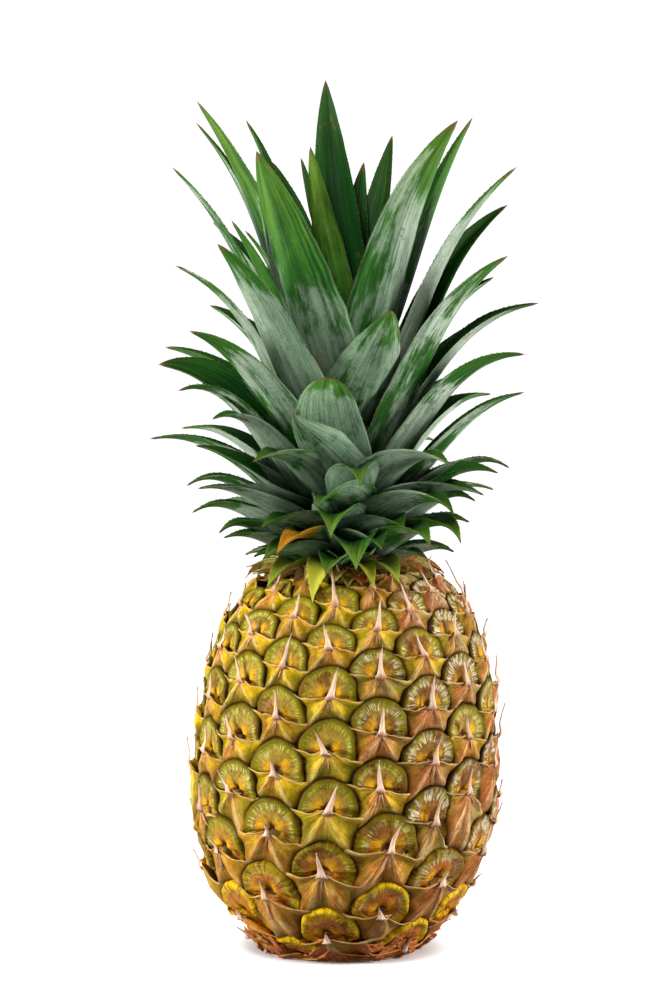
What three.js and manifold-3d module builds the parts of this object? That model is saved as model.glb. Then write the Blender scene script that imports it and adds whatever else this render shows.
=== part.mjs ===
// Pineapple: one ripe whole fruit with its leafy crown, standing on its cut base.
// Millimetres, +Z up, origin in the middle of the cut base, on the standing surface.
// Two nodes: the fruit (eyes, bracts and spines in one grown piece) and the crown.
import * as THREE from 'three';
import { ConvexHull } from 'three/addons/math/ConvexHull.js';
import * as BufferGeometryUtils from 'three/addons/utils/BufferGeometryUtils.js';
import Module from 'manifold-3d';

// ---- fruit: driving dimensions ----
const FRUIT_R = 60.5;        // largest radius, over the eyes
const WAIST_Z = 66;          // height of the largest radius
const BELOW = 73.5;          // reach of the lower curve under WAIST_Z
const BELOW_P = 2.05;        // squareness of the lower curve
const ABOVE = 92;            // reach of the upper curve over WAIST_Z
const ABOVE_P = 2.8;         // squareness of the upper curve
const LEAN = 0.03;           // sideways lean, mm per mm of height
const BASE_R = 26.5;         // radius of the flat the fruit rests on
const TOP_R = 25;            // radius of the flat under the crown
const TOP_Z = 153.6;         // height of that flat

// ---- eyes: a spiral of one eye each STEP degrees ----
const STEP = 100.03;         // turn from one eye to the next
const TURN0 = -7.9;          // turn of eye number 0, from the front towards +X
const EYE_AREA = 470;        // surface of an eye halfway up, mm2
const TAPER_1 = -0.434;      // change of that surface from base to top
const TAPER_2 = -0.25;
const SHIFT = 79.66;         // eyes' worth of surface below eye number 0
const FIRST = -77;           // lowest eye
const LAST = 54;             // highest eye
const SPREAD = 0.3;          // widening of the lower front eyes
const GROOVE = 3.0;          // depth of the seams round an eye
const DOME_R = 11.2;         // radius of the round upper half of an eye
const SPINE = 9;             // length of the dry spine of an eye
const LOW_ROWS = 30;         // up to twice this far up, spines are worn shorter

// ---- crown: driving dimensions ----
const CROWN_Z = 154.0;       // underside of the crown, just over the fruit
const CROWN_X = 2;           // the crown's axis stands this far towards +X
const STEM = [[154, 22.5], [174, 19.5], [196, 16], [220, 11], [244, 6], [258, 2]];
const STEM_SIDES = 12;
const BLADE = 2.0;           // thickness of a leaf in the middle of its root
const SUNK = 6;              // depth of the leaf roots inside the stem
const LONG = 55;             // leaves longer than this are drawn in more places
const CUP_ROOT = 0.5;        // rise of the leaf edges at the root, share of half width
const CUP_TIP = 0.3;         // and at the tip
const HIDDEN = 24;           // leaves of the back half, set out by rule
const FOOT = 13;             // small leaves round the foot

// repeatable draw in 0..1 for item k, purpose j
function draw(k, j) {
  const v = Math.sin(k * 127.1 + j * 311.7 + 74.7) * 43758.5453;
  return v - Math.floor(v);
}

function smooth(x) {
  const t = Math.min(1, Math.max(0, x));
  return t * t * (3 - 2 * t);
}

// radius of the fruit over the eyes at height z
function radiusAt(z) {
  const low = z < WAIST_Z;
  const t = low ? (WAIST_Z - z) / BELOW : (z - WAIST_Z) / ABOVE;
  const p = low ? BELOW_P : ABOVE_P;
  return FRUIT_R * Math.pow(Math.max(0, 1 - Math.pow(t, p)), 1 / p);
}

// the curve of the fruit walked from base to top: arc length and count of eyes
function walkProfile() {
  const rows = [];
  const zMax = WAIST_Z + ABOVE * 0.995;
  const n = 1600;
  for (let i = 0; i <= n; i++) {
    const z = zMax * i / n;
    const r = radiusAt(z);
    const last = rows[i - 1];
    const s = last ? last.s + Math.hypot(z - last.z, r - last.r) : 0;
    rows.push({ z, r, s, eyes: 0 });
  }
  const whole = rows[n].s;
  for (let i = 1; i <= n; i++) {
    const a = rows[i - 1];
    const b = rows[i];
    const u = (a.s + b.s) / whole - 1;
    const area = EYE_AREA * (1 + TAPER_1 * u + TAPER_2 * u * u);
    b.eyes = a.eyes + Math.PI * (a.r + b.r) * (b.s - a.s) / area;
    b.area = area;
  }
  rows[0].area = rows[1].area;
  return rows;
}
const PROFILE = walkProfile();

// row of the walked curve where the given column reaches the given value
function profileAt(column, value) {
  let lo = 0;
  let hi = PROFILE.length - 1;
  while (hi - lo > 1) {
    const mid = (lo + hi) >> 1;
    if (PROFILE[mid][column] > value) hi = mid;
    else lo = mid;
  }
  const a = PROFILE[lo];
  const b = PROFILE[hi];
  const f = (value - a[column]) / (b[column] - a[column]);
  const mix = (key) => a[key] + f * (b[key] - a[key]);
  const slope = Math.hypot(b.z - a.z, b.r - a.r);
  return {
    z: mix('z'), r: mix('r'), s: mix('s'), area: mix('area'),
    nr: (b.z - a.z) / slope, nz: (a.r - b.r) / slope,
  };
}

const TOP_S = profileAt('z', TOP_Z).s;

// point of the fruit at turn th, arc length s, height h over the curve
function onFruit(th, s, h) {
  const p = profileAt('s', s);
  const r = p.r + h * p.nr;
  const z = Math.max(0.6, p.z + h * p.nz);
  return new THREE.Vector3(r * Math.sin(th) + LEAN * z, -r * Math.cos(th), z);
}

function listEyes() {
  const eyes = [];
  for (let k = FIRST; k <= LAST; k++) {
    const p = profileAt('eyes', k + SHIFT);
    let th = (TURN0 - k * STEP) * Math.PI / 180;
    th += SPREAD * smooth((WAIST_Z - p.z) / 24) * Math.sin(th);
    eyes.push({ k, th, s: p.s, r: p.r, size: Math.sqrt(p.area / EYE_AREA) });
  }
  return eyes;
}

function wrap(a) {
  return Math.atan2(Math.sin(a), Math.cos(a));
}

// corner of three eyes, drawn in to the round edge of the lowest eye's dome
function ontoDome(eyes, ends, th) {
  const s = ends.reduce((a, i) => a + eyes[i].s, 0) / 3;
  const low = ends.map((i) => eyes[i]).sort((a, b) => a.s - b.s)[0];
  const u = wrap(th - low.th) * low.r;
  const v = s - low.s;
  const f = Math.min(1, (DOME_R + 0.8) * low.size / Math.hypot(u, v));
  return { th: low.th + f * u / low.r, s: low.s + f * v };
}

// Every eye is a cell of the surface. Cells meet in corners shared by three eyes;
// the corners come from the triangles of the hull spanned over the eye centres.
function buildFruit() {
  const eyes = listEyes();
  const count = eyes.length;
  const centres = eyes.map((e) => onFruit(e.th, e.s, 0));
  centres.push(new THREE.Vector3(0, 0, -6));
  centres.push(new THREE.Vector3(LEAN * 160, 0, 161));
  const order = new Map(centres.map((c, i) => [c, i]));
  const triangles = new ConvexHull().setFromPoints(centres).faces.map((face) => {
    const e = face.edge;
    return [e.head().point, e.next.head().point, e.next.next.head().point]
      .map((p) => order.get(p));
  });
  const points = [];
  const faces = [];
  const add = (p) => points.push(p) - 1;

  const corner = triangles.map((tri) => {
    const ends = tri.filter((i) => i < count);
    const sx = ends.reduce((a, i) => a + Math.sin(eyes[i].th), 0);
    const cx = ends.reduce((a, i) => a + Math.cos(eyes[i].th), 0);
    const th = Math.atan2(sx, cx);
    if (tri.includes(count)) return { th, rim: 'base' };
    if (tri.includes(count + 1)) return { th, rim: 'top' };
    return ontoDome(eyes, ends, th);
  });
  const rimS = { base: 0, top: TOP_S };
  const seam = (th, rim, s, size) => {
    if (rim === 'base') {
      return add(new THREE.Vector3(BASE_R * Math.sin(th), -BASE_R * Math.cos(th), 0));
    }
    if (rim === 'top') {
      return add(new THREE.Vector3(
        TOP_R * Math.sin(th) + LEAN * TOP_Z, -TOP_R * Math.cos(th), TOP_Z));
    }
    return add(onFruit(th, s, -GROOVE * size));
  };
  corner.forEach((c, t) => {
    const ends = triangles[t].filter((i) => i < count);
    const size = ends.reduce((a, i) => a + eyes[i].size, 0) / ends.length;
    c.size = size;
    c.s = c.rim ? rimS[c.rim] : c.s;
    c.id = seam(c.th, c.rim, c.s, size);
  });

  const follow = new Map();
  triangles.forEach((tri, t) => {
    tri.forEach((a, m) => follow.set(a * 1000 + tri[(m + 1) % 3], t));
  });
  const middles = new Map();
  // the ring of seam points round eye i, anticlockwise seen from outside
  const ringOf = (i) => {
    const ring = [];
    const first = triangles.findIndex((tri) => tri.includes(i));
    let t = first;
    do {
      const tri = triangles[t];
      const beyond = tri[(tri.indexOf(i) + 2) % 3];
      const next = follow.get(i * 1000 + beyond);
      ring.push(corner[t]);
      const key = Math.min(i, beyond) * 1000 + Math.max(i, beyond);
      if (!middles.has(key)) {
        const a = corner[t];
        const b = corner[next];
        const th = a.th + wrap(b.th - a.th) / 2;
        const s = (a.s + b.s) / 2;
        const rim = a.rim === b.rim ? a.rim : undefined;
        const size = (a.size + b.size) / 2;
        middles.set(key, { th, s, id: seam(th, rim, s, size) });
      }
      ring.push(middles.get(key));
      t = next;
    } while (t !== first);
    return ring;
  };

  eyes.forEach((eye, i) => {
    const ring = ringOf(i).map((b) => {
      const u = wrap(b.th - eye.th) * eye.r;
      const v = b.s - eye.s;
      return { id: b.id, u, v, far: Math.hypot(u, v) };
    });
    addEye(eye, ring, add, points, faces);
  });

  // flats at the base and under the crown
  const baseMid = add(new THREE.Vector3(0, 0, 0));
  const topMid = add(new THREE.Vector3(LEAN * TOP_Z, 0, TOP_Z));
  [[count, baseMid], [count + 1, topMid]].forEach(([pole, mid]) => {
    const ring = ringOf(pole);
    ring.forEach((b, m) => faces.push([mid, b.id, ring[(m + 1) % ring.length].id]));
  });
  return meshOf(points, faces);
}

// One eye: a round dome above, a dry bract with a raised free edge below and the
// spine of the bract standing up over the dome.
function addEye(eye, ring, add, points, faces) {
  const size = eye.size;
  const at = (u, v, h) => add(onFruit(eye.th + u / eye.r, eye.s + v, h * size));
  const side = (dir) => ring.reduce((best, b, m) => {
    const score = dir * b.u / b.far;
    return score > dir * ring[best].u / ring[best].far ? m : best;
  }, 0);
  const turned = (from, to) => {
    const chain = [];
    for (let m = from; ; m = (m + 1) % ring.length) {
      chain.push(ring[m]);
      if (m === to) return chain;
    }
  };
  const upper = turned(side(1), side(-1));
  const lower = turned(side(-1), side(1));
  const face = (a, b, c) => faces.push([a, b, c]);
  const strip = (outer, inner) => {
    for (let m = 0; m + 1 < outer.length; m++) {
      face(outer[m], outer[m + 1], inner[m + 1]);
      face(outer[m], inner[m + 1], inner[m]);
    }
  };
  const lift = 0.5 * (draw(eye.k, 1) - 0.5);

  const seamUp = upper.map((b) => b.id);
  const rim = upper.map((b) => {
    const f = Math.min(0.86, DOME_R * size / b.far);
    return at(b.u * f, b.v * f, -0.9 + lift);
  });
  const crest = upper.map((b) => {
    const f = Math.min(0.5, 0.55 * DOME_R * size / b.far);
    return at(b.u * f, b.v * f, -0.1 + lift);
  });
  const pit = at(0, 1.7 * size, -1.9);
  strip(seamUp, rim);
  strip(rim, crest);
  for (let m = 0; m + 1 < crest.length; m++) face(crest[m], crest[m + 1], pit);

  const seamLow = lower.map((b) => b.id);
  const last = lower.length - 1;
  const bract = lower.map((b, m) => {
    const horn = m === 0 || m === last;
    const f = horn ? 0.8 : 0.84;
    return at(b.u * f, b.v * f, (horn ? 0.1 : -0.5) + lift);
  });
  const w = 1.5 * size;
  const left = at(-w, 0.5 * size, 1.2);
  const right = at(w, 0.5 * size, 1.2);
  const low = at(0, -2.0 * size, 1.3);
  const bend = (draw(eye.k, 2) - 0.5) * 1.3;
  const grown = 0.55 + 0.45 * smooth((eye.s - LOW_ROWS) / LOW_ROWS);
  const room = Math.max(3, TOP_S - eye.s - 4.5);
  const reach = Math.min(room, SPINE * grown * (0.75 + 0.45 * draw(eye.k, 3)));
  const out = (2.8 + 2.0 * draw(eye.k, 4)) * grown * Math.min(1, room / 7);
  const tip = at(reach * Math.sin(bend), reach * Math.cos(bend) * 0.95, out / size);
  strip(seamLow, bract);
  const half = Math.floor(bract.length / 2);
  for (let m = 0; m < half; m++) face(bract[m], bract[m + 1], left);
  face(bract[half], low, left);
  face(bract[half], right, low);
  for (let m = half; m + 1 < bract.length; m++) face(bract[m], bract[m + 1], right);
  face(left, low, tip);
  face(low, right, tip);
  face(right, left, tip);
  // wall under the free edge of the bract, from horn to horn
  const n = crest.length - 1;
  face(seamUp[n], bract[0], rim[n]);
  face(rim[n], bract[0], crest[n]);
  face(crest[n], bract[0], left);
  face(crest[n], left, pit);
  face(pit, left, right);
  face(pit, right, crest[0]);
  face(crest[0], right, bract[last]);
  face(crest[0], bract[last], rim[0]);
  face(rim[0], bract[last], seamUp[0]);
}

function meshOf(points, faces) {
  const g = new THREE.BufferGeometry();
  const flat = points.flatMap((p) => [p.x, p.y, p.z]);
  g.setAttribute('position', new THREE.Float32BufferAttribute(flat, 3));
  g.setIndex(faces.flat());
  return g;
}

// ---- crown ----
// A leaf: root turn, root height, tip x y z, width, rise at the root, rise at the tip
// and twist of the blade. Turns from the front towards +X, rises over level; degrees.
const LEAVES = [
  // tall leaves of the heart
  [178, 232, -6, 20, 349, 21, 87, 84, 0],
  [140, 228, 21, 26, 327, 20, 76, 74, 0],
  [-30, 240, -12, -4, 322, 12, 76, 84, 0],
  [210, 236, -16, 8, 318, 10, 84, 76, 0],
  [-40, 214, -33, -22, 320, 27, 52, 72, 0],
  [-110, 226, -38, 12, 333, 15, 64, 60, 0],
  [-80, 216, -57, -4, 340, 20, 66, 56, 0],
  [-100, 212, -58, 10, 332, 14, 62, 48, 0],
  [100, 220, 52, 14, 334, 22, 62, 66, 0],
  [38, 214, 46, -20, 332, 28, 62, 52, 0],
  // upright outer leaves, left
  [-84, 204, -67, -4, 314, 15, 58, 44, 0],
  [-66, 208, -43, -18, 293, 16, 60, 56, 0],
  [-80, 212, -38, -8, 289, 12, 62, 48, 0],
  [-42, 200, -48, -38, 284, 26, 44, 46, 0],
  [-86, 190, -66, -2, 275, 15, 62, 24, 0],
  [-44, 188, -59, -36, 250, 22, 40, 20, 0],
  // upright outer leaves, right
  [76, 200, 70, -4, 314, 17, 64, 40, 0],
  [96, 196, 67, 8, 299, 20, 62, 36, -35],
  [64, 190, 66, -18, 279, 24, 58, 34, 0],
  [84, 188, 79, -4, 260, 18, 60, 8, -15],
  [125, 195, 57, 34, 252, 14, 55, 30, 0],
  [72, 182, 73, -14, 240, 22, 52, 0, 0],
  [118, 186, 46, 28, 230, 15, 50, 20, 0],
  [76, 176, 73, -12, 225, 20, 36, 12, -10],
  // broad front leaves
  [16, 206, 20, -34, 258, 28, 60, 66, 0],
  [-12, 190, -3, -38, 235, 28, 50, 125, 0],
  [10, 184, -20, -52, 219, 26, 46, 20, 0],
  [-36, 182, -34, -62, 201, 26, 40, -60, 0],
  [40, 180, 44, -54, 200, 26, 38, -80, 0],
  [2, 176, 4, -62, 191, 20, 40, -80, 0],
  [-14, 172, -10, -60, 184, 18, 30, -50, 0],
  [40, 168, 46, -52, 179, 20, 32, -45, 0],
  [10, 164, 11, -58, 178, 16, 30, -40, 0],
  [-4, 164, -3, -60, 170, 16, 30, -75, 0],
  // spreading leaves, left
  [-78, 184, -72, -14, 236, 28, 40, 2, 35],
  [-70, 180, -64, -24, 226, 15, 34, -20, 0],
  [-56, 178, -50, -44, 216, 16, 36, -20, 0],
  [-86, 178, -76, -6, 206, 17, 24, -12, 0],
  [-66, 174, -57, -30, 205, 16, 24, 10, 25],
  [-78, 170, -61, -16, 188, 15, 22, -35, 0],
  [-64, 169, -56, -30, 188, 15, 20, -10, 0],
  [-80, 164, -59, -12, 177, 15, 18, -35, 0],
  [-66, 160, -48, -26, 170, 15, 14, -45, 0],
  [-56, 159, -46, -34, 169, 15, 12, -15, 0],
  // spreading leaves, right
  [74, 172, 67, -16, 195, 15, 26, -35, 0],
  [64, 170, 62, -30, 194, 18, 34, -20, -20],
  [66, 166, 53, -30, 183, 15, 24, -30, 0],
  [70, 162, 51, -22, 174, 14, 22, -25, 0],
  [58, 163, 47, -40, 167, 14, 26, -70, 0],
  // small leaves of the foot, hanging over the fruit
  [-44, 157, -31, -46, 160, 14, 14, -35, 0],
  [-30, 159, -26, -50, 163, 10, 10, -50, 0],
  [8, 158, 6, -56, 157, 16, 20, -70, 0],
  [-12, 157, -10, -54, 147, 12, 14, -75, 0],
  [50, 157, 37, -42, 162, 15, 12, -45, 0],
];

// leaves of the back half follow the same outline as those in front
function hiddenLeaves() {
  const rows = [];
  for (let i = 0; i < HIDDEN; i++) {
    const t = i / (HIDDEN - 1);
    const turn = 100 + 160 * ((i * 0.618 + 0.2) % 1);
    const a = turn * Math.PI / 180;
    const zTip = 166 + 154 * t + 8 * (draw(i, 21) - 0.5);
    const rTip = 62 + 14 * Math.sin(Math.PI * 0.8 * t) - 38 * Math.pow(t, 3);
    const far = rTip + 8 * (draw(i, 22) - 0.5);
    rows.push([turn, 160 + 64 * t, CROWN_X + far * Math.sin(a), -far * Math.cos(a), zTip,
      15 + 9 * Math.sin(Math.PI * t), 22 + 48 * t, -35 + 90 * t, 0]);
  }
  return rows;
}

// small leaves all round the foot, arching out over the shoulder of the fruit
function footLeaves() {
  const rows = [];
  for (let i = 0; i < FOOT; i++) {
    const turn = 20 + 360 * i / FOOT + 16 * (draw(i, 31) - 0.5);
    const a = turn * Math.PI / 180;
    const far = 38 + 9 * draw(i, 32);
    rows.push([turn, 157, CROWN_X + far * Math.sin(a), -far * Math.cos(a),
      157 + 5 * draw(i, 33), 16, 10, -30, 0]);
  }
  return rows;
}

function stemRadius(z) {
  let i = 0;
  while (i + 2 < STEM.length && STEM[i + 1][0] < z) i++;
  const [z0, r0] = STEM[i];
  const [z1, r1] = STEM[i + 1];
  return r0 + (r1 - r0) * (z - z0) / (z1 - z0);
}

// share of the full width at place t of a leaf, root 0 to tip 1
function leafWidth(t) {
  return (0.74 + 0.26 * smooth(t / 0.35)) * Math.pow(1 - Math.pow(t, 2.1), 0.85);
}

// place t of a leaf: its midline, and its side and face turned by the twist
function leafFrame(curve, side, twist, t) {
  const along = curve.getTangent(t);
  side.addScaledVector(along, -side.dot(along)).normalize();
  const flat = along.clone().cross(side);
  const w = twist * Math.PI / 180 * smooth(t / 0.5);
  return {
    mid: curve.getPoint(t),
    across: side.clone().multiplyScalar(Math.cos(w)).addScaledVector(flat, -Math.sin(w)),
    face: flat.multiplyScalar(Math.cos(w)).addScaledVector(side, Math.sin(w)),
  };
}

// closed arched blade: four corners at each place, edges raised towards the axis
function leafGeometry(row) {
  const [turn, rootZ, x, y, z, width, rise, fall, twist] = row;
  const a = turn * Math.PI / 180;
  const e0 = rise * Math.PI / 180;
  const e1 = fall * Math.PI / 180;
  const out = new THREE.Vector3(Math.sin(a), -Math.cos(a), 0);
  const up = new THREE.Vector3(0, 0, 1);
  const root = new THREE.Vector3(CROWN_X, 0, rootZ)
    .addScaledVector(out, Math.max(0, stemRadius(rootZ) - SUNK));
  const tip = new THREE.Vector3(x, y, z);
  const span = root.distanceTo(tip);
  const level = tip.clone().sub(root).setZ(0).normalize();
  const p1 = root.clone().addScaledVector(out, 0.38 * span * Math.cos(e0))
    .addScaledVector(up, 0.38 * span * Math.sin(e0));
  const p2 = tip.clone().addScaledVector(level, -0.36 * span * Math.cos(e1))
    .addScaledVector(up, -0.36 * span * Math.sin(e1));
  const curve = new THREE.CubicBezierCurve3(root, p1, p2, tip);
  const side = new THREE.Vector3(Math.cos(a), Math.sin(a), 0);
  const points = [];
  const faces = [];
  const places = span > LONG ? [0, 0.16, 0.34, 0.54, 0.74, 0.9] : [0, 0.2, 0.45, 0.7, 0.88];
  places.forEach((t) => {
    const { mid, across, face } = leafFrame(curve, side, twist, t);
    const half = width * leafWidth(t) / 2;
    const thick = BLADE * (1 - 0.45 * t) / 2;
    const cup = half * (CUP_ROOT + (CUP_TIP - CUP_ROOT) * t);
    [[-half, cup], [0, -thick], [half, cup], [0, thick]].forEach(([s, n]) => {
      points.push(mid.clone().addScaledVector(across, s).addScaledVector(face, n));
    });
  });
  const end = points.push(tip) - 1;
  faces.push([0, 3, 2], [0, 2, 1]);
  for (let j = 0; j + 1 < places.length; j++) {
    for (let m = 0; m < 4; m++) {
      const p = 4 * j + m;
      const q = 4 * j + (m + 1) % 4;
      faces.push([p, q, q + 4], [p, q + 4, p + 4]);
    }
  }
  const f = 4 * (places.length - 1);
  for (let m = 0; m < 4; m++) faces.push([f + m, f + (m + 1) % 4, end]);
  return meshOf(points, faces);
}

function stemGeometry() {
  const points = [];
  const faces = [];
  const n = STEM_SIDES;
  STEM.forEach(([z, r], j) => {
    for (let m = 0; m < n; m++) {
      const a = 2 * Math.PI * m / n;
      const zz = j === 0 ? CROWN_Z : z;
      points.push(new THREE.Vector3(r * Math.sin(a) + CROWN_X, -r * Math.cos(a), zz));
    }
  });
  const foot = points.push(new THREE.Vector3(CROWN_X, 0, CROWN_Z)) - 1;
  const head = points.push(new THREE.Vector3(CROWN_X, 0, STEM[STEM.length - 1][0] + 3)) - 1;
  const rows = STEM.length;
  for (let m = 0; m < n; m++) {
    const q = (m + 1) % n;
    faces.push([foot, q, m]);
    faces.push([head, (rows - 1) * n + m, (rows - 1) * n + q]);
    for (let j = 0; j + 1 < rows; j++) {
      faces.push([j * n + m, j * n + q, j * n + n + q]);
      faces.push([j * n + m, j * n + n + q, j * n + n + m]);
    }
  }
  return meshOf(points, faces);
}

// ---- joining ----
const wasm = await Module();
wasm.setup();

function toSolid(geometry) {
  const g = BufferGeometryUtils.mergeVertices(geometry, 1e-4);
  return new wasm.Manifold(new wasm.Mesh({
    numProp: 3,
    vertProperties: new Float32Array(g.attributes.position.array),
    triVerts: new Uint32Array(g.index.array),
  }));
}

// the outer skin only, so that pockets closed in between leaves are filled
function outerSkin(mesh) {
  const tri = mesh.triVerts;
  const group = Array.from({ length: mesh.vertProperties.length / 3 }, (_, i) => i);
  const head = (i) => {
    while (group[i] !== i) i = group[i];
    return i;
  };
  for (let t = 0; t < tri.length; t += 3) {
    const a = head(tri[t]);
    group[head(tri[t + 1])] = a;
    group[head(tri[t + 2])] = a;
  }
  const counts = new Map();
  for (let t = 0; t < tri.length; t += 3) {
    const a = head(tri[t]);
    counts.set(a, (counts.get(a) || 0) + 1);
  }
  const main = [...counts].sort((a, b) => b[1] - a[1])[0][0];
  const kept = [];
  for (let t = 0; t < tri.length; t += 3) {
    if (head(tri[t]) === main) kept.push(tri[t], tri[t + 1], tri[t + 2]);
  }
  return kept;
}

function fromSolid(solid) {
  const m = solid.getMesh();
  const g = new THREE.BufferGeometry();
  g.setAttribute('position', new THREE.BufferAttribute(m.vertProperties, 3));
  g.setIndex(outerSkin(m));
  return g;
}

function node(name, geometry, color, roughness) {
  const material = new THREE.MeshStandardMaterial({ color, roughness, metalness: 0 });
  material.name = name + '_skin';
  const mesh = new THREE.Mesh(geometry, material);
  mesh.name = name;
  return mesh;
}

const fruitSolid = toSolid(buildFruit());
const crownSolid = LEAVES.concat(hiddenLeaves(), footLeaves())
  .map((row) => toSolid(leafGeometry(row)))
  .reduce((whole, leaf) => whole.add(leaf), toSolid(stemGeometry()));

const pineapple = new THREE.Group();
pineapple.name = 'pineapple';
pineapple.add(node('fruit', fromSolid(fruitSolid), 0x9a7a35, 0.6));
pineapple.add(node('crown', fromSolid(crownSolid), 0x6f8f4a, 0.55));

export default pineapple;
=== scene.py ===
from bisect import bisect_right
from math import atan2, copysign, cos, exp, floor, hypot, pi, radians, sin, sqrt

import bmesh
import bpy
from mathutils import Matrix, Vector, noise


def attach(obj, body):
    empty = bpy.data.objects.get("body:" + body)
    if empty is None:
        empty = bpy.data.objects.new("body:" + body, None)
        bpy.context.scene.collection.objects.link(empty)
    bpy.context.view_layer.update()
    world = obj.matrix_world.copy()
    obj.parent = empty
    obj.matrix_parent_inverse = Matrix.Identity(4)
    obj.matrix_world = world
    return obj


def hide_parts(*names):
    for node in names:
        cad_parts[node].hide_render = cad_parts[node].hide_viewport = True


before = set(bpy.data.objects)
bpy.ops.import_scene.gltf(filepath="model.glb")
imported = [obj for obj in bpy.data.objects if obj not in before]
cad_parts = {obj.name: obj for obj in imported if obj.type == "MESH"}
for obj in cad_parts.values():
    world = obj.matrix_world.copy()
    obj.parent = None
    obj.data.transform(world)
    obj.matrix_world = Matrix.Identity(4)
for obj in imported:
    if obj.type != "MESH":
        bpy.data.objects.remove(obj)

bl_info = {
    "name": "Pineapple",
    "version": (1, 0, 0),
    "blender": (4, 5, 0),
    "location": "View3D > Sidebar > Pineapple",
    "description": "Dresses the solids of a ripe pineapple with eyes, bracts, spines and leaves",
    "category": "Add Mesh",
}

# ---------------------------------------------------------------- sizes, in millimetres
MM = 0.001
FRUIT_R = 60.5        # largest radius, over the eyes
WAIST_Z = 66.0        # height of the largest radius
BELOW, BELOW_P = 73.5, 2.05
ABOVE, ABOVE_P = 92.0, 2.8
LEAN = 0.03           # sideways lean, mm per mm of height
BASE_R = 26.5         # radius of the flat the fruit rests on
TOP_R, TOP_Z = 25.0, 153.6
LOWEST = 0.3          # what lies on the fruit comes no lower than this

STEP = 100.03         # turn from one eye to the next, degrees
TURN0 = -7.9
EYE_AREA = 470.0
TAPER_1, TAPER_2 = -0.434, -0.25
SHIFT = 79.66         # where eye 0 falls in the count of eyes from the base
FIRST, LAST = -79, 54
SPREAD = 0.3
UNDER_BASE = -6.0     # where the cells of the lowest eyes end
ABOVE_TOP = 161.0     # height of the point that closes the net of eyes
REACH_STEPS = 72
BITE_STEP = 0.15
NEAR = 3.4            # dome radii within which a lower eye can bite into a bract
DRIFT = [(0.0, 0.0, 0.0), (31.4, 7.2, 53.8), (67.9, 83.1, 19.6)]

CROWN_X = 2.0
STEM = [(154, 22.5), (174, 19.5), (196, 16), (220, 11), (244, 6), (258, 2)]
SUNK = 6.0            # how deep a leaf is rooted in the stem
CUP_ROOT, CUP_TIP = 0.72, 0.42
HIDDEN, FOOT = 24, 13

BRACT_WALL, SPINE_WALL, SCALE_WALL, COLLAR_WALL = 0.3, 0.4, 0.4, 0.8


def draw(k, j):
    """Repeatable number in 0..1 for item k and purpose j."""
    v = sin(k * 127.1 + j * 311.7 + 74.7) * 43758.5453
    return v - floor(v)


def smooth(x):
    t = min(1.0, max(0.0, x))
    return t * t * (3 - 2 * t)


def lerp(a, b, t):
    return a + (b - a) * t


def through(table, x):
    """Value at x of a table of (x, value) rows, straight from row to row."""
    if x <= table[0][0]:
        return table[0][1]
    for (x0, y0), (x1, y1) in zip(table, table[1:]):
        if x <= x1:
            return lerp(y0, y1, (x - x0) / (x1 - x0))
    return table[-1][1]


def wrap(a):
    return atan2(sin(a), cos(a))


def ripple(x, y, z):
    """Smooth noise, the same in every run."""
    return noise.noise(Vector((x, y, z)))


def soften(a, b, c):
    return 0.25 * a + 0.5 * b + 0.25 * c


# ---------------------------------------------------------------- the fruit's surface
def radius_at(z):
    low = z < WAIST_Z
    t = (WAIST_Z - z) / BELOW if low else (z - WAIST_Z) / ABOVE
    p = BELOW_P if low else ABOVE_P
    return FRUIT_R * max(0.0, 1 - t ** p) ** (1 / p)


class Profile:
    """The curve of the fruit walked from base to top, with its arc length and count of eyes."""

    STEPS = 1600

    def __init__(self):
        top = WAIST_Z + ABOVE * 0.995
        self.z = [top * i / self.STEPS for i in range(self.STEPS + 1)]
        self.r = [radius_at(z) for z in self.z]
        self.s = [0.0]
        for i in range(self.STEPS):
            rise, run = self.z[i + 1] - self.z[i], self.r[i + 1] - self.r[i]
            self.s.append(self.s[-1] + hypot(rise, run))
        whole = self.s[-1]
        self.eyes = [0.0]
        self.area = []
        for i in range(self.STEPS):
            u = (self.s[i] + self.s[i + 1]) / whole - 1
            self.area.append(EYE_AREA * (1 + TAPER_1 * u + TAPER_2 * u * u))
            band = pi * (self.r[i] + self.r[i + 1]) * (self.s[i + 1] - self.s[i])
            self.eyes.append(self.eyes[-1] + band / self.area[-1])
        self.area.append(self.area[-1])

    def at(self, column, value):
        """Height, radius, arc length, eye area and both parts of the normal at a value."""
        i = min(max(bisect_right(column, value) - 1, 0), self.STEPS - 1)
        f = (value - column[i]) / (column[i + 1] - column[i])
        z0, z1, r0, r1 = self.z[i], self.z[i + 1], self.r[i], self.r[i + 1]
        slope = hypot(z1 - z0, r1 - r0)
        return (lerp(z0, z1, f), lerp(r0, r1, f), lerp(self.s[i], self.s[i + 1], f),
                lerp(self.area[i], self.area[i + 1], f), (z1 - z0) / slope, (r0 - r1) / slope)


PROFILE = Profile()
TOP_S = PROFILE.at(PROFILE.z, TOP_Z)[2]


def on_fruit(turn, arc, height):
    """Point of the fruit at a turn and arc length, a height over its curve."""
    z, r, _, _, nr, nz = PROFILE.at(PROFILE.s, min(max(arc, 0.0), TOP_S))
    rr = r + height * nr + min(0.0, arc)
    zz = max(LOWEST, z + height * nz)
    return Vector((rr * sin(turn) + LEAN * zz, -rr * cos(turn), zz))


def on_skin(turn, arc, u, v, h):
    """Point u along the girth and v up the skin from a place on it, h over the curve."""
    arc = max(-8.0, min(arc + v, TOP_S))
    r = max(8.0, PROFILE.at(PROFILE.s, max(0.0, arc))[1])
    return on_fruit(turn + u / r, arc, h)


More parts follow.
